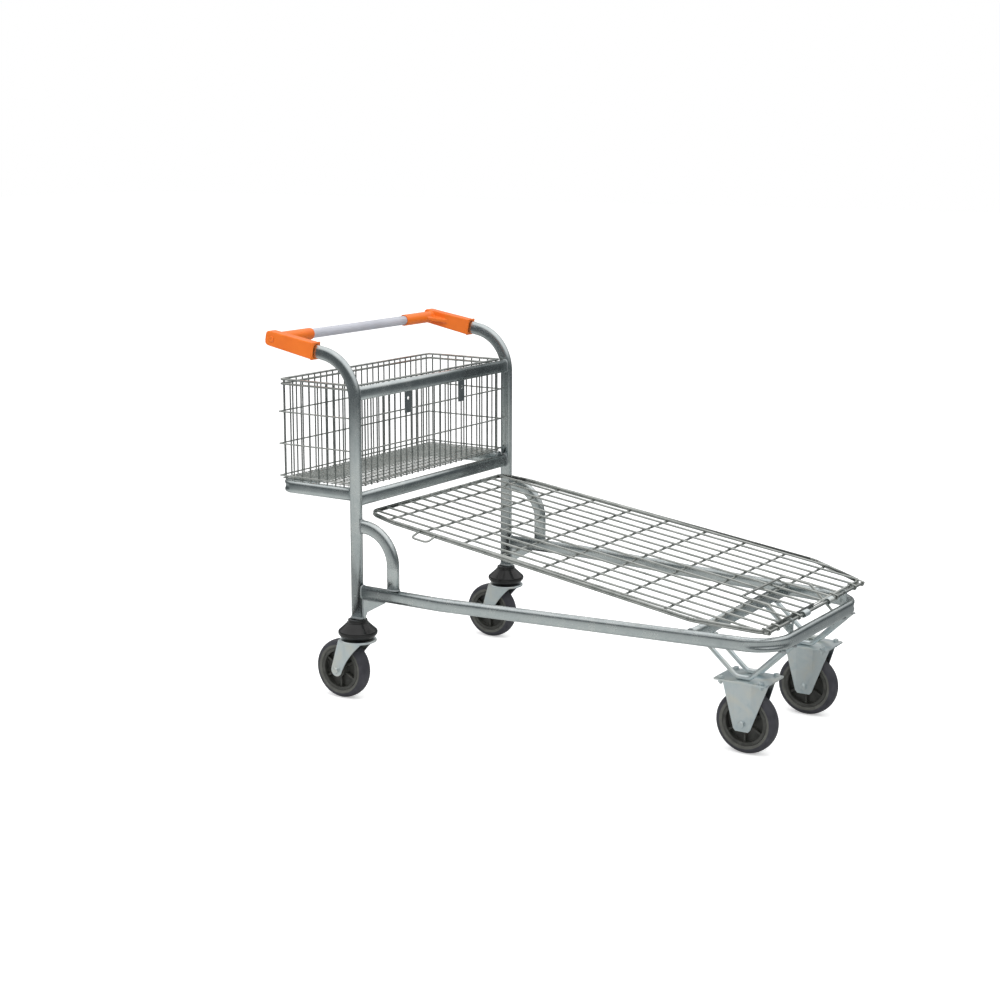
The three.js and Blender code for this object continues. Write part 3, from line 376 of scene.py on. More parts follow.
def cut_plate(name, edge, material, segments=2):
    """A copy of a sheet part with its triangles joined to flat faces and its edges broken."""
    mesh = bmesh.new()
    mesh.from_mesh(frame["nodes"][name].data)
    bmesh.ops.remove_doubles(mesh, verts=mesh.verts, dist=1e-5)
    bmesh.ops.dissolve_limit(mesh, angle_limit=math.radians(2), verts=mesh.verts, edges=mesh.edges)
    sharp = [edge_ for edge_ in mesh.edges if len(edge_.link_faces) == 2]
    sharp = [edge_ for edge_ in sharp if edge_.calc_face_angle(0) > math.radians(40)]
    bmesh.ops.bevel(mesh, geom=sharp, offset=edge, segments=segments, profile=0.6, affect="EDGES", clamp_overlap=True)
    for face in mesh.faces:
        face.smooth = False
    return finished(name, mesh, material)


for side in sides:
    plate = cut_plate(f"{side}_gusset", 0.0006, galvanised)
    fitted(plate, "frame", "galvanised_tube", f"{side}_gusset")
    plate = cut_plate(f"{side}_hanger_plate", 0.0004, galvanised)
    fitted(plate, "frame", "galvanised_tube", f"{side}_hanger_plate")


# Basket rails: two straight tubes between the uprights and a base rail bent to a U behind them, all
# welded. The base rail's outer wall sinks in at its two rear corners.
for name in ("basket_top_rail", "basket_lower_rail"):
    low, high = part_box(name)
    middle = (low + high) / 2
    mesh = bmesh.new()
    route = [(Vector((middle.x, y, middle.z)), 0) for y in (low.y, 0, high.y)]
    swept_tube(mesh, route, up_axis, tube_deep, tube_wide, slide=high.z)
    fitted(finished(name, mesh, galvanised), "frame", "galvanised_tube", name)

low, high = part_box("basket_base_rail")
base_z = (low.z + high.z) / 2
base_y = high.y - tube_wide / 2
base_x = low.x + tube_wide / 2
route = bent_path([(high.x, base_y, base_z), (base_x, base_y, base_z), (base_x, -base_y, base_z),
                   (high.x, -base_y, base_z)], (0.030, 0.030), 14)
mesh = bmesh.new()
swept_tube(mesh, route, up_axis, tube_deep, tube_wide, dent=0.0035)
fitted(finished("basket_base_rail", mesh, galvanised), "frame", "galvanised_tube", "basket_base_rail")


# Weld beads: MIG beads run round every tube joint and along the gussets before galvanising, so they
# carry the same zinc but look rippled and a little lighter.
def new_tree(name, **sizes):
    """An empty Geometry Nodes tree with named inputs, and its finish input."""
    tree = bpy.data.node_groups.new(name, "GeometryNodeTree")
    tree.interface.new_socket("Geometry", in_out="INPUT", socket_type="NodeSocketGeometry")
    tree.interface.new_socket("Geometry", in_out="OUTPUT", socket_type="NodeSocketGeometry")
    for size, kind in sizes.items():
        tree.interface.new_socket(size, in_out="INPUT", socket_type="NodeSocket" + kind)
    tree.interface.new_socket("finish", in_out="INPUT", socket_type="NodeSocketMaterial")
    return tree, add(tree, "NodeGroupInput").outputs


def close_tree(tree, geometry, finish):
    smooth = add(tree, "GeometryNodeSetShadeSmooth", {"Geometry": geometry})
    real = add(tree, "GeometryNodeRealizeInstances", {"Geometry": smooth.outputs[0]})
    coated = add(tree, "GeometryNodeSetMaterial", {"Geometry": real.outputs[0], "Material": finish})
    add(tree, "NodeGroupOutput", {"Geometry": coated.outputs[0]})


def grown(name, tree, mesh, **sizes):
    """Runs a tree over a mesh and keeps the result as a plain mesh."""
    piece = bpy.data.objects.new(name, mesh)
    scene.collection.objects.link(piece)
    modifier = piece.modifiers.new("grow", "NODES")
    modifier.node_group = tree
    for item in tree.interface.items_tree:
        if item.in_out == "INPUT" and item.name in sizes:
            modifier[item.identifier] = sizes[item.name]
    made = bpy.data.meshes.new_from_object(piece.evaluated_get(bpy.context.evaluated_depsgraph_get()))
    piece.modifiers.remove(modifier)
    piece.data = made
    made.name = name
    return piece


def lines_mesh(name, lines):
    """A mesh of edges only. Each line is (points, closed)."""
    places = []
    edges = []
    for points, closed in lines:
        first = len(places)
        places += [tuple(point) for point in points]
        edges += [(k, k + 1) for k in range(first, len(places) - 1)]
        if closed:
            edges.append((len(places) - 1, first))
    mesh = bpy.data.meshes.new(name)
    mesh.from_pydata(places, edges, [])
    return mesh


bead_tree, sizes = new_tree("weld_bead", radius="Float", pitch="Float", ripple="Float")
line = add(bead_tree, "GeometryNodeMeshToCurve", {"Mesh": sizes["Geometry"]})
step = add(bead_tree, "ShaderNodeMath", {0: sizes["pitch"], 1: 0.25}, operation="MULTIPLY")
pieces_of = {"Curve": line.outputs[0], "Length": step.outputs[0]}
line = add(bead_tree, "GeometryNodeResampleCurve", pieces_of, mode="LENGTH")
along = add(bead_tree, "GeometryNodeSplineParameter").outputs["Length"]
wave = add(bead_tree, "ShaderNodeMath", {0: along, 1: sizes["pitch"]}, operation="DIVIDE")
wave = add(bead_tree, "ShaderNodeMath", {0: wave.outputs[0], 1: math.tau}, operation="MULTIPLY")
wave = add(bead_tree, "ShaderNodeMath", {0: wave.outputs[0]}, operation="SINE")
swell = add(bead_tree, "ShaderNodeMath", {0: wave.outputs[0], 1: sizes["ripple"], 2: 1.0}, operation="MULTIPLY_ADD")
circle = add(bead_tree, "GeometryNodeCurvePrimitiveCircle", {"Resolution": 8, "Radius": sizes["radius"]})
body = add(
    bead_tree,
    "GeometryNodeCurveToMesh",
    {"Curve": line.outputs[0], "Profile Curve": circle.outputs[0], "Scale": swell.outputs[0], "Fill Caps": True},
)
close_tree(bead_tree, body.outputs[0], sizes["finish"])

weld_zinc, tree, shader = new_finish("weld_zinc", Metallic=1.0)
solid = add(tree, "ShaderNodeTexCoord").outputs["Object"]
grit = add(tree, "ShaderNodeTexNoise", {"Vector": solid, "Scale": 520.0, "Detail": 3.0})
tint = ramp(tree, grit.outputs["Fac"], (0.3, (0.38, 0.41, 0.42)), (0.7, (0.66, 0.69, 0.70)))
rough = ramp(tree, grit.outputs["Fac"], (0.3, grey(0.34)), (0.7, grey(0.52)))
relief = bumped(tree, grit.outputs["Fac"], 0.4, 0.0006)
wire_up(tree, shader, Base_Color=tint, Roughness=rough, Normal=relief)


def oval_loop(centre, along_axis, across_axis, along, across):
    return [centre + along_axis * a + across_axis * b for a, b in oval_section(along, across)]


bead_radius = 0.0021
seat = bead_radius * 0.4
forward = Vector((1, 0, 0))
seams = []
for sign in sides.values():
    y = sign * upright_y
    rail_end = Vector((rail_start + seat, y, chassis_z))
    seams.append((oval_loop(rail_end, up_axis, side_axis, tube_deep, tube_wide), True))
    low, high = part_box("right_arch_brace")
    arch_end = Vector((low.x + seat, y, high.z - tube_deep / 2))
    seams.append((oval_loop(arch_end, up_axis, side_axis, tube_deep, tube_wide), True))
    arch_foot = Vector((high.x - tube_deep / 2, y, low.z + seat))
    seams.append((oval_loop(arch_foot, forward, side_axis, tube_deep, tube_wide), True))
    for name, inward in (("basket_top_rail", 0), ("basket_lower_rail", 0), ("chassis_cross_member", 0)):
        low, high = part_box(name)
        end = Vector(((low.x + high.x) / 2, sign * (high.y - seat), (low.z + high.z) / 2))
        seams.append((oval_loop(end, up_axis, forward, tube_deep, tube_wide), True))
    low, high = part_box("basket_base_rail")
    end = Vector((high.x - seat, sign * base_y, base_z))
    seams.append((oval_loop(end, up_axis, side_axis, tube_deep, tube_wide), True))
    low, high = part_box("right_gusset")
    for face in (-1, 1):
        face_y = y + face * (high.y - low.y) / 2
        seams.append(([(low.x + seat, face_y, low.z + 0.003), (low.x + seat, face_y, high.z)], False))
        seams.append(([(low.x, face_y, high.z - seat), (high.x - 0.004, face_y, high.z - seat)], False))
seam_lines = lines_mesh("weld_beads", seams)
beads = grown("weld_beads", bead_tree, seam_lines, radius=bead_radius, pitch=0.0035, ripple=0.14, finish=weld_zinc)
fitted(beads, "frame", "galvanised_tube")


# Handle elbows: two-part orange polypropylene mouldings pushed over the handle legs. A rim runs round the
# mouth, the outside has soft edges, and a round plug covers the screw that holds each grip end.
orange, tree, shader = new_finish("orange_plastic", Roughness=0.38, Specular_IOR_Level=0.45)
shader.inputs["Coat Weight"].default_value = 0.12
shader.inputs["Coat Roughness"].default_value = 0.3
solid = add(tree, "ShaderNodeTexCoord").outputs["Object"]
grain = add(tree, "ShaderNodeTexNoise", {"Vector": solid, "Scale": 900.0, "Detail": 2.0})
patch = add(tree, "ShaderNodeTexNoise", {"Vector": solid, "Scale": 14.0, "Detail": 4.0})
tint = ramp(tree, patch.outputs["Fac"], (0.3, (0.76, 0.150, 0.012)), (0.7, (0.86, 0.190, 0.016)))
relief = bumped(tree, grain.outputs["Fac"], 0.12, 0.0004)
wire_up(tree, shader, Base_Color=tint, Normal=relief)


def applied(piece):
    """Applies a piece's modifiers and keeps its finish."""
    made = bpy.data.meshes.new_from_object(piece.evaluated_get(bpy.context.evaluated_depsgraph_get()))
    piece.modifiers.clear()
    piece.data = made
    return piece


def sheet_piece(mesh, outer, thickness_way):
    """Adds a flat sheet to a bmesh from its outer outline and the way its thickness goes."""
    front = [mesh.verts.new(point) for point in outer]
    back = [mesh.verts.new(Vector(point) + Vector(thickness_way)) for point in outer]
    mesh.faces.new(front)
    mesh.faces.new(list(reversed(back)))
    for k in range(len(outer)):
        following = (k + 1) % len(outer)
        mesh.faces.new((front[following], front[k], back[k], back[following]))


def moulded(name, material, voxel, rounds, keep=0.5, web=None):
    """A copy of a moulding with its hard corners worn soft, as a plastic tool leaves them."""
    mesh = bmesh.new()
    mesh.from_mesh(frame["nodes"][name].data)
    bmesh.ops.remove_doubles(mesh, verts=mesh.verts, dist=1e-5)
    if web:
        sheet_piece(mesh, *web)
    piece = finished(name, mesh, material)
    remesh = piece.modifiers.new("skin", "REMESH")
    remesh.mode = "VOXEL"
    remesh.voxel_size = voxel
    remesh.use_smooth_shade = True
    soften = piece.modifiers.new("soften", "SMOOTH")
    soften.iterations = rounds
    soften.factor = keep
    applied(piece)
    if not piece.data.materials:
        piece.data.materials.append(material)
    return piece


def lathe(mesh, profile, centre, axis, steps=64):
    """Turns (radius, along) pairs about an axis through a centre. A radius of 0 closes on the axis."""
    start = axis.orthogonal().normalized()
    rings = []
    for radius, along in profile:
        middle = centre + axis * along
        if radius < 1e-7:
            rings.append([mesh.verts.new(middle)])
            continue
        arms = [Matrix.Rotation(math.tau * k / steps, 3, axis) @ start for k in range(steps)]
        rings.append([mesh.verts.new(middle + arm * radius) for arm in arms])
    for ring, further in zip(rings, rings[1:]):
        for k in range(steps):
            following = (k + 1) % steps
            if len(ring) == 1:
                corners = (ring[0], further[following], further[k])
            elif len(further) == 1:
                corners = (ring[k], ring[following], further[0])
            else:
                corners = (ring[k], ring[following], further[following], further[k])
            mesh.faces.new(corners).smooth = True


def rounded(profile, radius, steps=4, closed=True):
    """The profile with its corners turned to arcs, except where it ends on the axis."""
    ends = closed and profile[0][0] > 1e-7
    points = []
    count = len(profile)
    for k, place in enumerate(profile):
        if not ends and k in (0, count - 1):
            points.append(place)
            continue
        here = Vector(place)
        before = Vector(profile[k - 1])
        after = Vector(profile[(k + 1) % count])
        reach = min(radius, (before - here).length * 0.45, (after - here).length * 0.45)
        start = here + (before - here).normalized() * reach
        end = here + (after - here).normalized() * reach
        for step in range(steps + 1):
            share = step / steps
            bend = start.lerp(here, share).lerp(here.lerp(end, share), share)
            points.append((bend.x, bend.y))
    if ends:
        points.append(points[0])
    return points


leg_normal = Vector((math.sin(handle_rise), 0, math.cos(handle_rise)))
web_thickness = 0.010
screw_seat = 0.0147
screw_profile = [(0, -0.011), (0.0025, -0.011), (0.0025, 0), (0.0075, 0), (0.0075, 0.0012), (0.0068, 0.0020),
                 (0.0050, 0.0025), (0.0036, 0.0025), (0.0026, 0.0014), (0, 0.0012)]
for side, sign in sides.items():
    corner = Vector((upright_x, sign * (upright_y - 0.0135), handle_corner_z)) - leg_normal * web_thickness / 2
    inwards = side_axis * -sign
    web = [corner + leg_heading * d + inwards * reach for d, reach in ((0.2, 0), (0.262, 0), (0.262, 0.046))]
    elbow = moulded(f"{side}_handle_elbow", orange, 0.0014, 6, web=(web, leg_normal * web_thickness))
    fitted(elbow, "frame", "orange_plastic", f"{side}_handle_elbow")
    outward = side_axis * sign
    screw_place = Vector((upright_x, sign * upright_y, handle_corner_z)) + leg_heading * 0.266
    mesh = bmesh.new()
    lathe(mesh, [(along_radius, screw_seat + along) for along_radius, along in screw_profile], screw_place, outward, 40)
    screw = finished(f"{side}_elbow_screw", mesh, orange)
    fitted(screw, "frame", "orange_plastic", f"{side}_elbow_screw")


# Grip: a straight tube with a pale grey plastic sleeve shrunk on, its ends pressed into the elbows'
# sockets. The sleeve has a fine satin grain.
pale_grip, tree, shader = new_finish("grip_plastic", Roughness=0.36)
solid = add(tree, "ShaderNodeTexCoord").outputs["Object"]
grain = add(tree, "ShaderNodeTexNoise", {"Vector": solid, "Scale": 700.0, "Detail": 2.0})
patch = add(tree, "ShaderNodeTexNoise", {"Vector": solid, "Scale": 9.0, "Detail": 3.0})
tint = ramp(tree, patch.outputs["Fac"], (0.3, (0.45, 0.46, 0.51)), (0.7, (0.53, 0.54, 0.59)))
relief = bumped(tree, grain.outputs["Fac"], 0.1, 0.0003)
wire_up(tree, shader, Base_Color=tint, Normal=relief)


low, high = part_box("handle_grip")
grip_radius = (high.z - low.z) / 2
grip_middle = Vector(((low.x + high.x) / 2, 0, (low.z + high.z) / 2))
bore = grip_radius - 0.0025
half = high.y
profile = [(bore, -half), (grip_radius, -half), (grip_radius, half), (bore, half)]
mesh = bmesh.new()
lathe(mesh, rounded(profile, 0.001, 2), grip_middle, side_axis, 72)
fitted(finished("handle_grip", mesh, pale_grip), "frame", "grip_plastic", "handle_grip")


# Basket mesh: 4 mm hard-drawn wire, resistance-welded where it crosses and bright zinc plated. Upright
# wires stand inside the long ones, which run round the basket and meet in pointed corners.
zinc_wire, tree, shader = new_finish("zinc_wire", Metallic=1.0)
solid = add(tree, "ShaderNodeTexCoord").outputs["Object"]
clouds = add(tree, "ShaderNodeTexNoise", {"Vector": solid, "Scale": 34.0, "Detail": 4.0})
specks = add(tree, "ShaderNodeTexNoise", {"Vector": solid, "Scale": 700.0, "Detail": 2.0})
mottle = add(tree, "ShaderNodeMix", {0: 0.3, 2: clouds.outputs["Fac"], 3: specks.outputs["Fac"]})
tint = ramp(tree, mottle.outputs[0], (0.3, (0.34, 0.36, 0.34)), (0.5, (0.48, 0.50, 0.48)), (0.7, (0.62, 0.63, 0.60)))
rough = ramp(tree, mottle.outputs[0], (0.3, grey(0.22)), (0.7, grey(0.38)))
relief = bumped(tree, specks.outputs["Fac"], 0.12, 0.0003)
wire_up(tree, shader, Base_Color=tint, Roughness=rough, Normal=relief)

wire_tree, sizes = new_tree("drawn_wire", radius="Float", bend="Float")
line = add(wire_tree, "GeometryNodeMeshToCurve", {"Mesh": sizes["Geometry"]})
bending = {"Curve": line.outputs[0], "Count": 7, "Radius": sizes["bend"], "Limit Radius": True}
line = add(wire_tree, "GeometryNodeFilletCurve", bending, mode="POLY")
circle = add(wire_tree, "GeometryNodeCurvePrimitiveCircle", {"Resolution": 10, "Radius": sizes["radius"]})
bar = {"Curve": line.outputs[0], "Profile Curve": circle.outputs[0], "Fill Caps": True}
close_tree(wire_tree, add(wire_tree, "GeometryNodeCurveToMesh", bar).outputs[0], sizes["finish"])

row_tree, sizes = new_tree("wire_row", start="Vector", reach="Vector", step="Vector", count="Int", radius="Float")
row = {"Count": sizes["count"], "Start Location": sizes["start"], "Offset": sizes["step"]}
row = add(row_tree, "GeometryNodeMeshLine", row, mode="OFFSET")
bar = add(row_tree, "GeometryNodeCurvePrimitiveLine", {"End": sizes["reach"]})
bars = add(row_tree, "GeometryNodeInstanceOnPoints", {"Points": row.outputs[0], "Instance": bar.outputs[0]})
bars = add(row_tree, "GeometryNodeRealizeInstances", {"Geometry": bars.outputs[0]})
circle = add(row_tree, "GeometryNodeCurvePrimitiveCircle", {"Resolution": 8, "Radius": sizes["radius"]})
bars = {"Curve": bars.outputs[0], "Profile Curve": circle.outputs[0], "Fill Caps": True}
close_tree(row_tree, add(row_tree, "GeometryNodeCurveToMesh", bars).outputs[0], sizes["finish"])


def wires(name, lines, radius, bend, finish):
    return grown(name, wire_tree, lines_mesh(name, lines), radius=radius, bend=bend, finish=finish)


def wire_row(name, start, end, last_start, pitch, radius, finish):
    """Straight wires from start to end, repeated up to last_start at about one pitch."""
    start = Vector(start)
    span = Vector(last_start) - start
    gaps = max(1, round(span.length / pitch))
    ends = Vector(end) - start
    mesh = bpy.data.meshes.new(name)
    return grown(name, row_tree, mesh, start=start, reach=ends, step=span / gaps, count=gaps + 1, radius=radius,
                 finish=finish)


def joined(name, parts):
    """One piece made of several pieces' meshes."""
    mesh = bmesh.new()
    for part in parts:
        mesh.from_mesh(part.data)
    data = bpy.data.meshes.new(name)
    mesh.to_mesh(data)
    mesh.free()
    data.materials.append(parts[0].data.materials[0])
    for part in parts:
        bpy.data.objects.remove(part)
    piece = bpy.data.objects.new(name, data)
    scene.collection.objects.link(piece)
    return piece


wire = 0.002
wall_pitch = 0.027
wall_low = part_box("right_basket_wall")[0]
wall_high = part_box("right_basket_wall")[1]
side_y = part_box("left_basket_wall")[1].y - wire
front_x = wall_high.x - wire
rear_x = wall_low.x + wire
foot = wall_low.z
head = wall_high.z
hoop_heights = (0.754, 0.667, 0.580)
hoop_out = 2 * wire - 0.0004
for side, sign in sides.items():
    y = sign * side_y
    upright_wires = wire_row("wires", (rear_x + wall_pitch / 2, y, foot), (rear_x + wall_pitch / 2, y, head),
                             (front_x - wall_pitch / 2, y, foot), wall_pitch, wire, zinc_wire)
    out = y + sign * hoop_out
    long_wires = [([(front_x + hoop_out, out, z), (rear_x - hoop_out, out, z)], False) for z in hoop_heights]
    long_wires = wires("hoops", long_wires, wire, 0.001, zinc_wire)
    wall = joined(f"{side}_basket_wall", (upright_wires, long_wires))
    fitted(wall, "frame", "zinc_wire", f"{side}_basket_wall")
for name, x, outward in (("basket_front_wall", front_x, 1), ("basket_rear_wall", rear_x, -1)):
    edge = side_y - wall_pitch / 2
    upright_wires = wire_row("wires", (x, -edge, foot), (x, -edge, head), (x, edge, foot), wall_pitch, wire, zinc_wire)
    out = x + outward * hoop_out
    reach = side_y + hoop_out
    long_wires = [([(out, -reach, z), (out, reach, z)], False) for z in hoop_heights]
    long_wires = wires("hoops", long_wires, wire, 0.001, zinc_wire)
    fitted(joined(name, (upright_wires, long_wires)), "frame", "zinc_wire", name)

# Basket floor: the same wire in a close mesh, with a thinner cross wire, lying on the base rail.
low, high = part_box("basket_floor")
floor_wire = 0.0015
middle_z = (low.z + high.z) / 2
cross = wire_row("cross", (low.x, low.y, middle_z - 0.0005), (low.x, high.y, middle_z - 0.0005),
                 (high.x, low.y, middle_z - 0.0005), 0.027, floor_wire, zinc_wire)
lengths = wire_row("lengths", (low.x, low.y, middle_z + 0.0012), (high.x, low.y, middle_z + 0.0012),
                   (low.x, high.y, middle_z + 0.0012), 0.0135, 0.0012, zinc_wire)
fitted(joined("basket_floor", (cross, lengths)), "frame", "zinc_wire", "basket_floor")

# Rim: two 6 mm hoops, one above the other, welded to the tops of the upright wires.
low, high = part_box("basket_rim_wire")
rim_wire = (high.z - low.z) / 2
rim_x = (low.x + rim_wire, high.x - rim_wire)
rim_y = high.y - rim_wire
hoops = []
for z in (high.z - rim_wire, high.z - rim_wire - 0.012):
    corners = [(rim_x[0], -rim_y, z), (rim_x[1], -rim_y, z), (rim_x[1], rim_y, z), (rim_x[0], rim_y, z)]
    hoops.append((corners, True))
fitted(wires("basket_rim_wire", hoops, rim_wire, 0.008, zinc_wire), "frame", "zinc_wire", "basket_rim_wire")


# Deck: a sprung grid of 6 mm wire. Two edge wires one above the other go all the way round, cross wires
# lie under the long ones, and a thicker rod along the front is the hinge pin. Clips tie it to the edge.
hinge = Vector(frame["joints"][[joint["name"] for joint in frame["joints"]].index("deck_hinge")]["pos_m"])
deck_tilt = math.radians(8.186)
deck_back = Vector((-math.cos(deck_tilt), 0, math.sin(deck_tilt)))
deck_up = Vector((math.sin(deck_tilt), 0, math.cos(deck_tilt)))
deck_wire = 0.003
deck_outline = ((0.013, 0.2970), (0.166, 0.3615), (1.0597, 0.3415), (1.1477, 0.3215))


def on_deck(distance, y, height=0.0):
    """A place on the raised deck: behind the hinge, across, and above the grid's middle."""
    return hinge + deck_back * distance + side_axis * y + deck_up * height


def deck_half(distance):
    """Half the deck's width at a distance behind the hinge."""
    for (near, near_half), (far, far_half) in zip(deck_outline, deck_outline[1:]):
        if distance <= far:
            return near_half + (far_half - near_half) * (distance - near) / (far - near)
    return deck_outline[-1][1]


def deck_reach(y, rear):
    """How far a long wire at y runs, to the front or rear edge."""
    if rear:
        (near, near_half), (far, far_half) = deck_outline[2:]
    else:
        (far, far_half), (near, near_half) = deck_outline[:2]
    if abs(y) <= far_half:
        return far
    return far + (near - far) * (abs(y) - far_half) / (near_half - far_half)


edges = []
front_corner, knee, taper_corner, rear_corner = 0.010, 0.060, 0.150, 0.040
for height in (deck_wire, -deck_wire):
    corners = [on_deck(deck_outline[0][0], 0, height)]
    corners += [on_deck(d, half, height) for d, half in deck_outline]
    corners += [on_deck(d, -half, height) for d, half in reversed(deck_outline)]
    corners.append(corners[0])
    bends = (front_corner, knee, taper_corner, rear_corner, rear_corner, taper_corner, knee, front_corner)
    edges.append(([point for point, bend in bent_path(corners, bends)[:-1]], True))
edge_wires = wires("edge", edges, deck_wire, 0.0001, zinc_wire)
lines = []
for k in range(9):
    distance = (1.149 - 0.076 - 0.118 * k) / math.cos(deck_tilt)
    if distance > deck_outline[0][0]:
        half = deck_half(distance)
        lines.append(([on_deck(distance, -half, -deck_wire), on_deck(distance, half, -deck_wire)], False))
long_pitch = 0.050
for k in range(-6, 7):
    y = k * long_pitch
    lines.append(([on_deck(deck_reach(y, False), y, deck_wire), on_deck(deck_reach(y, True), y, deck_wire)], False))
for sign in (-1, 1):
    half = 0.340
    lines.append(([on_deck(0.115, sign * half, deck_wire), on_deck(1.062, sign * half, deck_wire)], False))
grid_wires = wires("grid", lines, deck_wire, 0.001, zinc_wire)
pin_radius = 0.004
pin = wires("pin", [([on_deck(0, -0.297), on_deck(0, 0.297)], False)], pin_radius, 0.001, zinc_wire)
clip_wire = 0.0015
clips = []
for y in (-0.285, -0.235, -0.115, 0.115, 0.235, 0.285):
    for offset in (-clip_wire, clip_wire):
        reach = pin_radius + clip_wire * 0.6
        far = deck_outline[0][0] + deck_wire + clip_wire
        tall = 2 * deck_wire + clip_wire * 0.6
        corners = ((-reach, -reach), (far * 0.5, -tall), (far, -tall), (far, tall), (far * 0.5, tall), (-reach, reach))
        clips.append(([on_deck(d, y + offset, h) for d, h in corners], True))
clips = wires("clips", clips, clip_wire, 0.003, zinc_wire)
fitted(joined("deck_grid", (edge_wires, grid_wires, pin, clips)), "deck", "zinc_wire", "deck_grid")

# Rest loops: closed loops of the deck's wire that reach out over the chassis rails and land on them
# when the deck is pressed down.
loop_middle = 0.9437
loop_half = 0.025
loop_reach = 0.033
loop_drop = 0.010
for side, sign in sides.items():
    near = loop_middle - loop_half
    far = loop_middle + loop_half
    out = deck_half(loop_middle) + 0.0035 + loop_reach
    corners = [
        on_deck(near, sign * (deck_half(near) + 0.001)),
        on_deck(near, sign * out, -loop_drop),
        on_deck(far, sign * out, -loop_drop),
        on_deck(far, sign * (deck_half(far) + 0.001)),
    ]
    loop = wires(f"{side}_rest_loop", [(corners, False)], deck_wire, 0.012, zinc_wire)
    fitted(loop, "deck", "zinc_wire", f"{side}_rest_loop")

# Stop bow: 7 mm wire welded to the back of the front rail, bent over the deck to hold it down.
bow_radius = 0.0035
bow_half = 0.125
bow_foot_x = rail_line_x - tube_wide / 2 - bow_radius - 0.0003
bow_height = deck_wire + bow_radius + 0.0005
corners = [
    (bow_foot_x, -bow_half, chassis_z - 0.002),
    on_deck(0.078, -bow_half, bow_height + 0.003),
    on_deck(0.152, -bow_half, bow_height + 0.003),
    on_deck(0.152, bow_half, bow_height + 0.003),
    on_deck(0.078, bow_half, bow_height + 0.003),
    (bow_foot_x, bow_half, chassis_z - 0.002),
]
bow = wires("deck_stop_bow", [(corners, False)], bow_radius, 0.014, zinc_wire)
fitted(bow, "frame", "zinc_wire", "deck_stop_bow")

# Hinge lugs: laser-cut plate with an eye for the hinge pin, welded on top of the front rail.
for side in sides:
    lug = cut_plate(f"{side}_hinge_bracket", 0.0005, galvanised)
    fitted(lug, "frame", "galvanised_tube", f"{side}_hinge_bracket")


# Bright zinc: pressed and turned fittings are electroplated and passivated, so they are bluish, smoother
# than the tubes and clouded where the passivation dried.
bright_zinc, tree, shader = new_finish("bright_zinc", Metallic=1.0)
solid = add(tree, "ShaderNodeTexCoord").outputs["Object"]
clouds = add(tree, "ShaderNodeTexNoise", {"Vector": solid, "Scale": 19.0, "Detail": 5.0, "Distortion": 0.6})
specks = add(tree, "ShaderNodeTexNoise", {"Vector": solid, "Scale": 640.0, "Detail": 2.0})
tint = ramp(tree, clouds.outputs["Fac"], (0.3, (0.60, 0.69, 0.72)), (0.5, (0.74, 0.80, 0.81)), (0.7, (0.82, 0.84, 0.80)))
rough = ramp(tree, clouds.outputs["Fac"], (0.3, grey(0.30)), (0.7, grey(0.44)))
relief = bumped(tree, specks.outputs["Fac"], 0.14, 0.0003)
wire_up(tree, shader, Base_Color=tint, Roughness=rough, Normal=relief)

# Hinge springs: torsion springs of 3 mm wire wound round the hinge pin, one arm up under the deck and the other against
# the front rail. Only their coils are drawn here.
coil_tree, sizes = new_tree("spring_coil", turns="Float", coil="Float", length="Float", radius="Float")
turning = {"Resolution": 26, "Rotations": sizes["turns"], "Start Radius": sizes["coil"], "Height": sizes["length"]}
turning["End Radius"] = sizes["coil"]
coil = add(coil_tree, "GeometryNodeCurveSpiral", turning)
circle = add(coil_tree, "GeometryNodeCurvePrimitiveCircle", {"Resolution": 8, "Radius": sizes["radius"]})
bar = {"Curve": coil.outputs[0], "Profile Curve": circle.outputs[0], "Fill Caps": True}
close_tree(coil_tree, add(coil_tree, "GeometryNodeCurveToMesh", bar).outputs[0], sizes["finish"])
spring_wire = 0.0013
for side, sign in sides.items():
    low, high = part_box(f"{side}_hinge_spring")
    coil_radius = (high.z - low.z) / 2 - spring_wire
    length = high.y - low.y - 2 * spring_wire
    spring = grown(f"{side}_hinge_spring", coil_tree, bpy.data.meshes.new("coil"), turns=9.0, coil=coil_radius,
                   length=length, radius=spring_wire, finish=bright_zinc)
    laid = Matrix.Translation(Vector((hinge.x, high.y - spring_wire, hinge.z))) @ Matrix.Rotation(math.pi / 2, 4, "X")
    spring.data.transform(laid)
    fitted(spring, "frame", "bright_zinc", f"{side}_hinge_spring")


# Hanger rods: 12 mm round bar bent to a flat-bottomed V. Its ends are welded under the cross member and
# the front rail, and its flat carries the castor plate.
rod_radius = 0.006
wheel_radius = 0.080
axle = {side: Vector((0.614, sign * 0.184, wheel_radius)) for side, sign in sides.items()}
flat = 0.018
rod_sink = 0.001
weld_drop = 0.003
rod_seams = []
for side, sign in sides.items():
    for name in (f"{side}_inner_hanger_rod", f"{side}_outer_hanger_rod"):
        low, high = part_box(name)
        y = (low.y + high.y) / 2
        top = chassis_z - tube_deep / 2 + rod_sink
        base = low.z + rod_radius
        line = [(cross_member_x, y, top), (axle[side].x - flat, y, base), (axle[side].x + flat, y, base),
                (rail_line_x, y, top)]
        hanger = wires(name, [(line, False)], rod_radius, 0.020, bright_zinc)
        fitted(hanger, "frame", "bright_zinc", name)
        for bend, end in ((line[1], line[0]), (line[2], line[3])):
            lean = Vector(end) - Vector(bend)
            middle = Vector(end) - lean * (weld_drop / lean.z)
            # A level cut through a leaning round bar is longer than the bar is thick.
            stretch = lean.length / lean.z
            turns = [math.tau * k / 20 for k in range(20)]
            collar = [middle + rod_radius * Vector((stretch * math.cos(t), math.sin(t), 0)) for t in turns]
            rod_seams.append((collar, True))
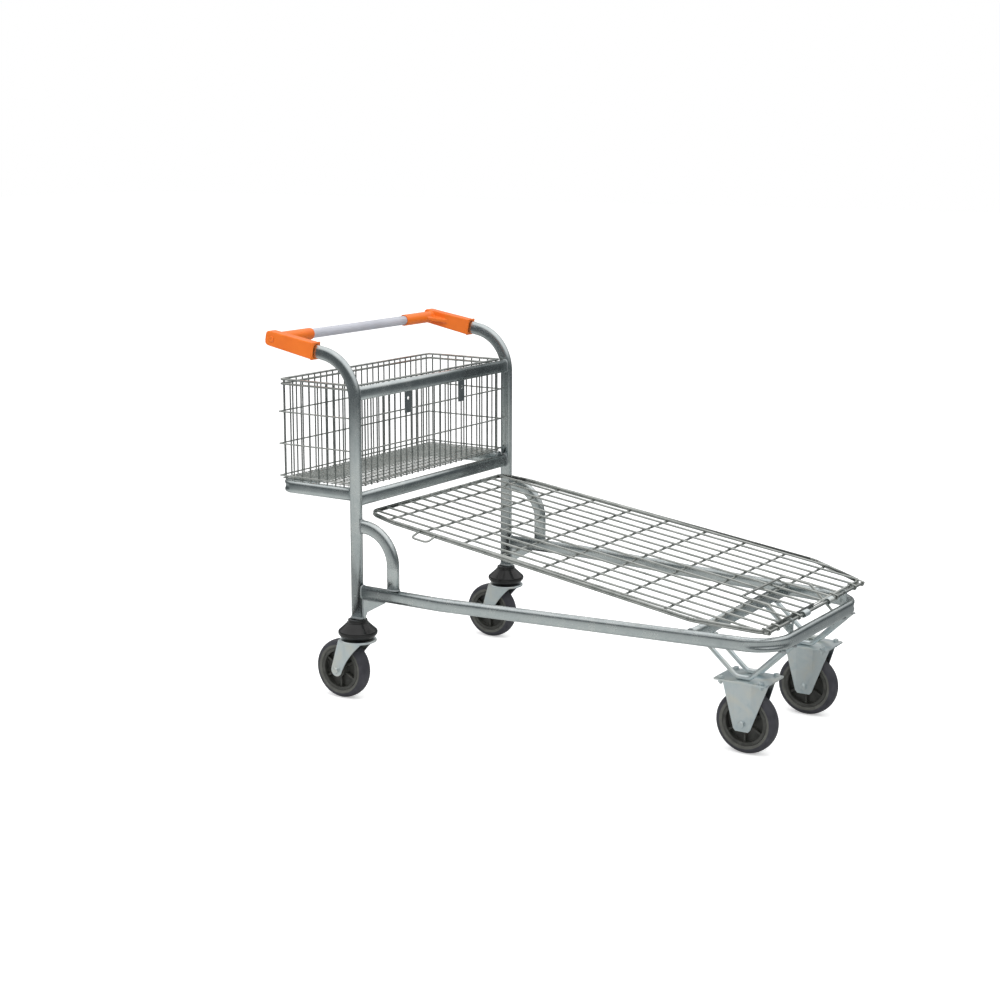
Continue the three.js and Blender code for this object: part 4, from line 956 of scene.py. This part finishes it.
rod_welds = grown("hanger_welds", bead_tree, lines_mesh("hanger_welds", rod_seams), radius=bead_radius,
                  pitch=0.0035, ripple=0.14, finish=weld_zinc)
fitted(rod_welds, "frame", "galvanised_tube")


# Front castor forks: 3 mm pressed steel. The top plate takes four bolts; each leg has a flat middle and
# two triangular wings folded in along its creases, and a foot with clipped corners round the axle bolt.
sheet = 0.003
plate_size = (0.140, 0.110, 0.004)
fork_half = 0.0315
leg_top = 0.064
leg_foot = 0.0230
crease_top = 0.0235
crease_foot = 0.0205
wing_fold = 0.0135


def broken_edges(piece, width, segments=2):
    bevel = piece.modifiers.new("edges", "BEVEL")
    bevel.width = width
    bevel.segments = segments
    bevel.limit_method = "ANGLE"
    bevel.angle_limit = math.radians(25)
    return applied(piece)


fork_top = 0.192
for side, sign in sides.items():
    centre = axle[side]
    mesh = bmesh.new()
    half_x, half_y = plate_size[0] / 2, plate_size[1] / 2
    clip = 0.006
    outline = []
    for corner_x, corner_y in ((1, 1), (-1, 1), (-1, -1), (1, -1)):
        for turn in range(5):
            angle = math.atan2(corner_y, corner_x) - math.pi / 4 + turn * math.pi / 8
            x = corner_x * (half_x - clip) + clip * math.cos(angle)
            y = corner_y * (half_y - clip) + clip * math.sin(angle)
            outline.append((centre.x + x, centre.y + y, fork_top - plate_size[2]))
    sheet_piece(mesh, outline, (0, 0, plate_size[2]))
    for leg in (-1, 1):
        face_y = centre.y + leg * (fork_half + sheet / 2)
        inward = -leg * sheet
        under = fork_top - plate_size[2] + 0.0005
        foot_z_level = centre.z - 0.019
        rows = []
        for z, half, crease, fold in (
            (under, leg_top, crease_top, wing_fold),
            (centre.z - 0.012, leg_foot, crease_foot, 0.0),
            (foot_z_level, leg_foot - 0.006, crease_foot - 0.004, 0.0),
        ):
            row = []
            for x, y in ((-half, fold), (-crease, 0), (crease, 0), (half, fold)):
                outside = Vector((centre.x + x, face_y - leg * y, z))
                row.append((mesh.verts.new(outside), mesh.verts.new(outside + Vector((0, inward, 0)))))
            rows.append(row)
        for upper, lower in zip(rows, rows[1:]):
            for k in range(3):
                mesh.faces.new((upper[k][0], upper[k + 1][0], lower[k + 1][0], lower[k][0]))
                mesh.faces.new((upper[k + 1][1], upper[k][1], lower[k][1], lower[k + 1][1]))
            mesh.faces.new((upper[0][0], lower[0][0], lower[0][1], upper[0][1]))
            mesh.faces.new((upper[3][1], lower[3][1], lower[3][0], upper[3][0]))
        for row, order in ((rows[0], (1, 0)), (rows[-1], (0, 1))):
            for k in range(3):
                a, b = order
                mesh.faces.new((row[k][a], row[k + 1][a], row[k + 1][b], row[k][b]))
    fork = broken_edges(finished(f"{side}_front_fork", mesh, bright_zinc), 0.0007)
    fitted(fork, "frame", "bright_zinc", f"{side}_front_fork")

# Plate bolts: four M8 hexagon heads on top of each castor plate with their nuts and threads below it.
bolt_tree, sizes = new_tree("bolt_pattern", centre="Vector", length="Float", width="Float", bolt="Object")
grid = {"Size X": sizes["length"], "Size Y": sizes["width"], "Vertices X": 2, "Vertices Y": 2}
corners = add(bolt_tree, "GeometryNodeMeshGrid", grid)
moved = add(bolt_tree, "GeometryNodeTransform", {"Geometry": corners.outputs[0], "Translation": sizes["centre"]})
shape = add(bolt_tree, "GeometryNodeObjectInfo", {"Object": sizes["bolt"], "As Instance": False})
bolts = {"Points": moved.outputs[0], "Instance": shape.outputs["Geometry"]}
bolts = add(bolt_tree, "GeometryNodeInstanceOnPoints", bolts)
real = add(bolt_tree, "GeometryNodeRealizeInstances", {"Geometry": bolts.outputs[0]})
coated = add(bolt_tree, "GeometryNodeSetMaterial", {"Geometry": real.outputs[0], "Material": sizes["finish"]})
add(bolt_tree, "NodeGroupOutput", {"Geometry": coated.outputs[0]})

mesh = bmesh.new()
head_low = 0.0003
lathe(mesh, [(0, head_low), (0.0085, head_low), (0.0085, head_low + 0.0012), (0, head_low + 0.0012)], Vector(),
      up_axis, 24)
lathe(mesh, [(0, head_low + 0.0012), (0.0070, head_low + 0.0012), (0.0070, 0.0062), (0.0062, 0.0068), (0, 0.0068)],
      Vector(), up_axis, 6)
lathe(mesh, [(0, -0.0112), (0.0062, -0.0112), (0.0070, -0.0106), (0.0070, -0.0045), (0, -0.0045)], Vector(),
      up_axis, 6)
lathe(mesh, [(0, -0.0150), (0.0034, -0.0150), (0.0040, -0.0144), (0.0040, -0.0105), (0, -0.0105)], Vector(),
      up_axis, 16)
for face in mesh.faces:
    face.smooth = False
plate_bolt = finished("plate_bolt", mesh, bright_zinc)
for side in sides:
    centre = Vector((axle[side].x, axle[side].y, fork_top))
    name = f"{side}_plate_bolts"
    bolts = grown(name, bolt_tree, bpy.data.meshes.new(name), centre=centre, length=0.108, width=0.086,
                  bolt=plate_bolt, finish=bright_zinc)
    fitted(bolts, "frame", "bright_zinc")
bpy.data.objects.remove(plate_bolt)


# Rear castor forks: a pressed round crown with a turned-down lip and two swept-back legs, all one 3 mm
# pressing in bright zinc. The front edge of each leg is hollow and its end is round about the axle.
swivel = {side: Vector((upright_x, sign * upright_y, 0.165)) for side, sign in sides.items()}
rear_axle = {side: Vector((upright_x - 0.049, sign * upright_y, wheel_radius)) for side, sign in sides.items()}
crown_radius = 0.050
leg_end = 0.017
for side, sign in sides.items():
    body = f"{side}_rear_castor"
    centre = swivel[side]
    hub_place = rear_axle[side]
    mesh = bmesh.new()
    crown = [
        (0.0064, 0.0), (0.0200, 0.0), (0.0220, -0.0012), (crown_radius - sheet, -0.0012),
        (crown_radius - sheet, -0.0030), (crown_radius, -0.0030), (crown_radius, 0.0012),
        (crown_radius - 0.0018, sheet), (0.0064, sheet),
    ]
    lathe(mesh, rounded(crown, 0.001, 3), centre, up_axis, 72)
    top_half = math.sqrt(crown_radius ** 2 - (fork_half + sheet / 2) ** 2)
    for leg in (-1, 1):
        y = centre.y + leg * (fork_half + sheet / 2)
        front_top = Vector((centre.x + top_half, centre.z + 0.0004))
        rear_top = Vector((centre.x - top_half - 0.004, centre.z + 0.0004))
        end_turns = [math.radians(a) for a in range(-20, -201, -15)]
        end = [(hub_place.x + leg_end * math.cos(a), hub_place.z + leg_end * math.sin(a)) for a in end_turns]
        hollow_to = Vector(end[0])
        pull = Vector((centre.x - 0.014, centre.z - 0.042))
        front_edge = []
        for step in range(13):
            share = step / 12
            front_edge.append(front_top.lerp(pull, share).lerp(pull.lerp(hollow_to, share), share))
        outline = [(x, y, z) for x, z in (*front_edge, *end[1:], rear_top)]
        sheet_piece(mesh, outline, (0, -leg * sheet, 0))
    fork = broken_edges(finished(f"{side}_rear_fork", mesh, bright_zinc), 0.0006)
    fitted(fork, body, "bright_zinc", f"{side}_rear_fork")

# Castor stems: a kingpin with a hexagon nut under the crown and a steel plug driven into the foot of the
# upright.
for side, sign in sides.items():
    low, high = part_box(f"{side}_castor_stem")
    place = Vector((upright_x, sign * upright_y, 0))
    mesh = bmesh.new()
    lathe(mesh, [(0, low.z + 0.001), (0.0050, low.z), (0.0060, low.z + 0.001), (0.0060, 0.228), (0, 0.228)], place,
          up_axis, 28)
    lathe(mesh, [(0, 0.1576), (0.0105, 0.1576), (0.0120, 0.1586), (0.0120, 0.1634), (0, 0.1634)], place, up_axis, 6)
    lathe(mesh, [(0, 0.1634), (0.0135, 0.1634), (0.0135, 0.1646), (0, 0.1646)], place, up_axis, 32)
    plug_path = [(place + up_axis * z, 0) for z in (foot_z, foot_z + 0.020, high.z)]
    swept_tube(mesh, plug_path, side_axis, tube_wide - 0.0048, tube_deep - 0.0048)
    stem = finished(f"{side}_castor_stem", mesh, bright_zinc)
    fitted(stem, "frame", "bright_zinc", f"{side}_castor_stem")

# Bumpers: glossy black rubbery plastic double cones, turned loose on the kingpin, that keep the frame off
# walls and door frames. A zinc-plated ring is welded round each upright's foot above it.
glossy_black, tree, shader = new_finish("black_plastic", Specular_IOR_Level=0.5)
solid = add(tree, "ShaderNodeTexCoord").outputs["Object"]
smears = add(tree, "ShaderNodeTexNoise", {"Vector": solid, "Scale": 42.0, "Detail": 5.0})
tint = ramp(tree, smears.outputs["Fac"], (0.3, grey(0.004)), (0.75, grey(0.010)))
rough = ramp(tree, smears.outputs["Fac"], (0.3, grey(0.10)), (0.7, grey(0.20)))
relief = bumped(tree, smears.outputs["Fac"], 0.08, 0.001)
wire_up(tree, shader, Base_Color=tint, Roughness=rough, Normal=relief)
for side, sign in sides.items():
    low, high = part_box(f"{side}_castor_bumper")
    widest = (high.y - low.y) / 2
    profile = [
        (0.0066, low.z), (0.0400, low.z), (0.0418, low.z + 0.0020), (widest, low.z + 0.0150),
        (widest, low.z + 0.0225), (0.0290, high.z - 0.0100), (0.0290, high.z - 0.0085),
        (0.0260, high.z - 0.0075), (0.0260, high.z - 0.0002), (0.0066, high.z - 0.0002),
    ]
    place = Vector((upright_x, sign * upright_y, 0))
    mesh = bmesh.new()
    lathe(mesh, rounded(profile, 0.0022, 5), place, up_axis, 96)
    bumper = finished(f"{side}_castor_bumper", mesh, glossy_black)
    fitted(bumper, "frame", "black_plastic", f"{side}_castor_bumper")
    mesh = bmesh.new()
    ring_path = [(place + up_axis * (foot_z + z), 0) for z in (0.0002, 0.0012, 0.0060)]
    swept_tube(mesh, ring_path, side_axis, tube_wide + 0.0034, tube_deep + 0.0034)
    ring = broken_edges(finished(f"{side}_foot_ring", mesh, weld_zinc), 0.0008)
    fitted(ring, "frame", "galvanised_tube")


# Axles: M12 hexagon bolts with a flange under the head, and a lock nut with its thread showing inside.
for side, sign in sides.items():
    for place, body, node in (
        (axle[side], "frame", f"{side}_front_axle"),
        (rear_axle[side], f"{side}_rear_castor", f"{side}_rear_axle"),
    ):
        outward = side_axis * sign
        face = fork_half + sheet / 2
        mesh = bmesh.new()
        shaft = [(0, -face - 0.0062), (0.0050, -face - 0.0062), (0.0058, -face - 0.0054), (0.0058, face), (0, face)]
        lathe(mesh, shaft, place, outward, 28)
        washer = [(0, face + 0.0002), (0.0098, face + 0.0002), (0.0098, face + 0.0014), (0.0088, face + 0.0018),
                  (0, face + 0.0018)]
        lathe(mesh, washer, place, outward, 40)
        head = [(0, face + 0.0018), (0.0090, face + 0.0018), (0.0090, face + 0.0054), (0.0080, face + 0.0062),
                (0, face + 0.0062)]
        lathe(mesh, head, place, outward, 6)
        lathe(mesh, [(radius, -along) for radius, along in washer], place, outward, 40)
        nut = [(0, -face - 0.0018), (0.0090, -face - 0.0018), (0.0090, -face - 0.0046), (0.0078, -face - 0.0052),
               (0, -face - 0.0052)]
        lathe(mesh, nut, place, outward, 6)
        for polygon in mesh.faces:
            polygon.smooth = False
        bolt = finished(node, mesh, bright_zinc)
        fitted(bolt, body, "bright_zinc", node)


# Wheel centres: injection-moulded black nylon with a hub, a thin web, six ribs each side and a deep rim.
# The wheels turn on plain bearings pressed into the hub.
nylon, tree, shader = new_finish("hub_plastic", Roughness=0.42)
solid = add(tree, "ShaderNodeTexCoord").outputs["Object"]
clouds = add(tree, "ShaderNodeTexNoise", {"Vector": solid, "Scale": 60.0, "Detail": 4.0})
grain = add(tree, "ShaderNodeTexNoise", {"Vector": solid, "Scale": 800.0, "Detail": 2.0})
tint = ramp(tree, clouds.outputs["Fac"], (0.3, (0.030, 0.031, 0.027)), (0.7, (0.062, 0.063, 0.056)))
relief = bumped(tree, grain.outputs["Fac"], 0.15, 0.0003)
wire_up(tree, shader, Base_Color=tint, Normal=relief)

ring_tree, sizes = new_tree("ring_of_ribs", count="Int", centre="Vector", rib="Object")
spots = add(ring_tree, "GeometryNodeMeshLine", {"Count": sizes["count"], "Offset": (0, 0, 0)}, mode="OFFSET")
number = add(ring_tree, "GeometryNodeInputIndex").outputs[0]
share = add(ring_tree, "ShaderNodeMath", {0: number, 1: sizes["count"]}, operation="DIVIDE")
angle = add(ring_tree, "ShaderNodeMath", {0: share.outputs[0], 1: math.tau}, operation="MULTIPLY")
spin = add(ring_tree, "ShaderNodeCombineXYZ", {"Y": angle.outputs[0]})
shape = add(ring_tree, "GeometryNodeObjectInfo", {"Object": sizes["rib"], "As Instance": False})
ring = {"Points": spots.outputs[0], "Instance": shape.outputs["Geometry"], "Rotation": spin.outputs[0]}
ring = add(ring_tree, "GeometryNodeInstanceOnPoints", ring)
moved = add(ring_tree, "GeometryNodeTransform", {"Geometry": ring.outputs[0], "Translation": sizes["centre"]})
real = add(ring_tree, "GeometryNodeRealizeInstances", {"Geometry": moved.outputs[0]})
coated = add(ring_tree, "GeometryNodeSetMaterial", {"Geometry": real.outputs[0], "Material": sizes["finish"]})
add(ring_tree, "NodeGroupOutput", {"Geometry": coated.outputs[0]})

rim_radius = 0.0587
rim_inside = 0.0497
rim_half = 0.019
hub_radius = 0.020
hub_half = 0.029
web_half = 0.004
rib_half = 0.0135
mesh = bmesh.new()
outline = [
    (-0.0020, -0.0130, hub_radius - 0.001), (0.0020, -0.0130, hub_radius - 0.001),
    (0.0030, -rib_half, rim_inside + 0.001), (-0.0030, -rib_half, rim_inside + 0.001),
]
sheet_piece(mesh, outline, (0, 2 * rib_half, 0))
rib = broken_edges(finished("wheel_rib", mesh, nylon), 0.0008)
wheels = {}
for side in sides:
    wheels[f"{side}_front"] = axle[side]
    wheels[f"{side}_rear"] = rear_axle[side]
for wheel, place in wheels.items():
    half_rim = [(rim_inside, -web_half), (rim_inside, -rim_half), (rim_radius, -rim_half)]
    half_hub = [(0.0062, -hub_half), (0.0125, -hub_half), (0.0135, -hub_half + 0.002),
                (0.0165, -hub_half + 0.002), (hub_radius, -hub_half + 0.0045), (hub_radius, -web_half)]
    half = half_hub + half_rim
    profile = half + [(radius, -along) for radius, along in reversed(half)]
    mesh = bmesh.new()
    lathe(mesh, rounded(profile, 0.0012, 3), place, side_axis, 80)
    turned_part = finished("turned", mesh, nylon)
    ribs = grown("ribs", ring_tree, bpy.data.meshes.new("ribs"), count=6, centre=place, rib=rib, finish=nylon)
    rim = joined(f"{wheel}_rim", (turned_part, ribs))
    fitted(rim, f"{wheel}_wheel", "hub_plastic", f"{wheel}_rim")
bpy.data.objects.remove(rib)


# Tyres: dark grey thermoplastic rubber moulded over the rims, with a rounded tread, a raised line on each
# shoulder, and paler sides where the rubber meets the rim.
rubber, tree, shader = new_finish("grey_rubber", Roughness=0.55)
solid = add(tree, "ShaderNodeTexCoord").outputs["Object"]
clouds = add(tree, "ShaderNodeTexNoise", {"Vector": solid, "Scale": 45.0, "Detail": 5.0})
grain = add(tree, "ShaderNodeTexNoise", {"Vector": solid, "Scale": 520.0, "Detail": 3.0})
dark = ramp(tree, clouds.outputs["Fac"], (0.3, (0.028, 0.028, 0.036)), (0.7, (0.050, 0.050, 0.060)))
paler = ramp(tree, clouds.outputs["Fac"], (0.3, (0.075, 0.076, 0.068)), (0.7, (0.115, 0.117, 0.104)))
band = add(tree, "ShaderNodeAttribute", attribute_name="near_rim").outputs["Fac"]
tint = add(tree, "ShaderNodeMix", {0: band, 6: dark, 7: paler}, data_type="RGBA")
rough = ramp(tree, clouds.outputs["Fac"], (0.3, grey(0.46)), (0.7, grey(0.66)))
relief = bumped(tree, grain.outputs["Fac"], 0.25, 0.0004)
wire_up(tree, shader, Base_Color=tint.outputs[2], Roughness=rough, Normal=relief)
for wheel, place in wheels.items():
    bead_in = 0.0590
    half = [
        (bead_in, 0.0), (bead_in, -0.0188), (0.0610, -0.0198), (0.0655, -0.0206), (0.0662, -0.0210),
        (0.0672, -0.0210), (0.0680, -0.0205), (0.0720, -0.0196), (0.0762, -0.0165), (0.0788, -0.0112),
        (0.0798, -0.0055), (wheel_radius, 0.0),
    ]
    profile = half + [(radius, -along) for radius, along in reversed(half[1:-1])]
    mesh = bmesh.new()
    lathe(mesh, rounded(profile, 0.0016, 3), place, side_axis, 112)
    tyre = finished(f"{wheel}_tyre", mesh, rubber)
    shade = tyre.data.attributes.new("near_rim", "FLOAT", "POINT")
    for vertex, value in zip(tyre.data.vertices, shade.data):
        arm = Vector((vertex.co.x - place.x, vertex.co.z - place.z)).length
        value.value = 1 - min(max((arm - 0.0655) / 0.002, 0), 1)
    fitted(tyre, f"{wheel}_wheel", "grey_rubber", f"{wheel}_tyre")
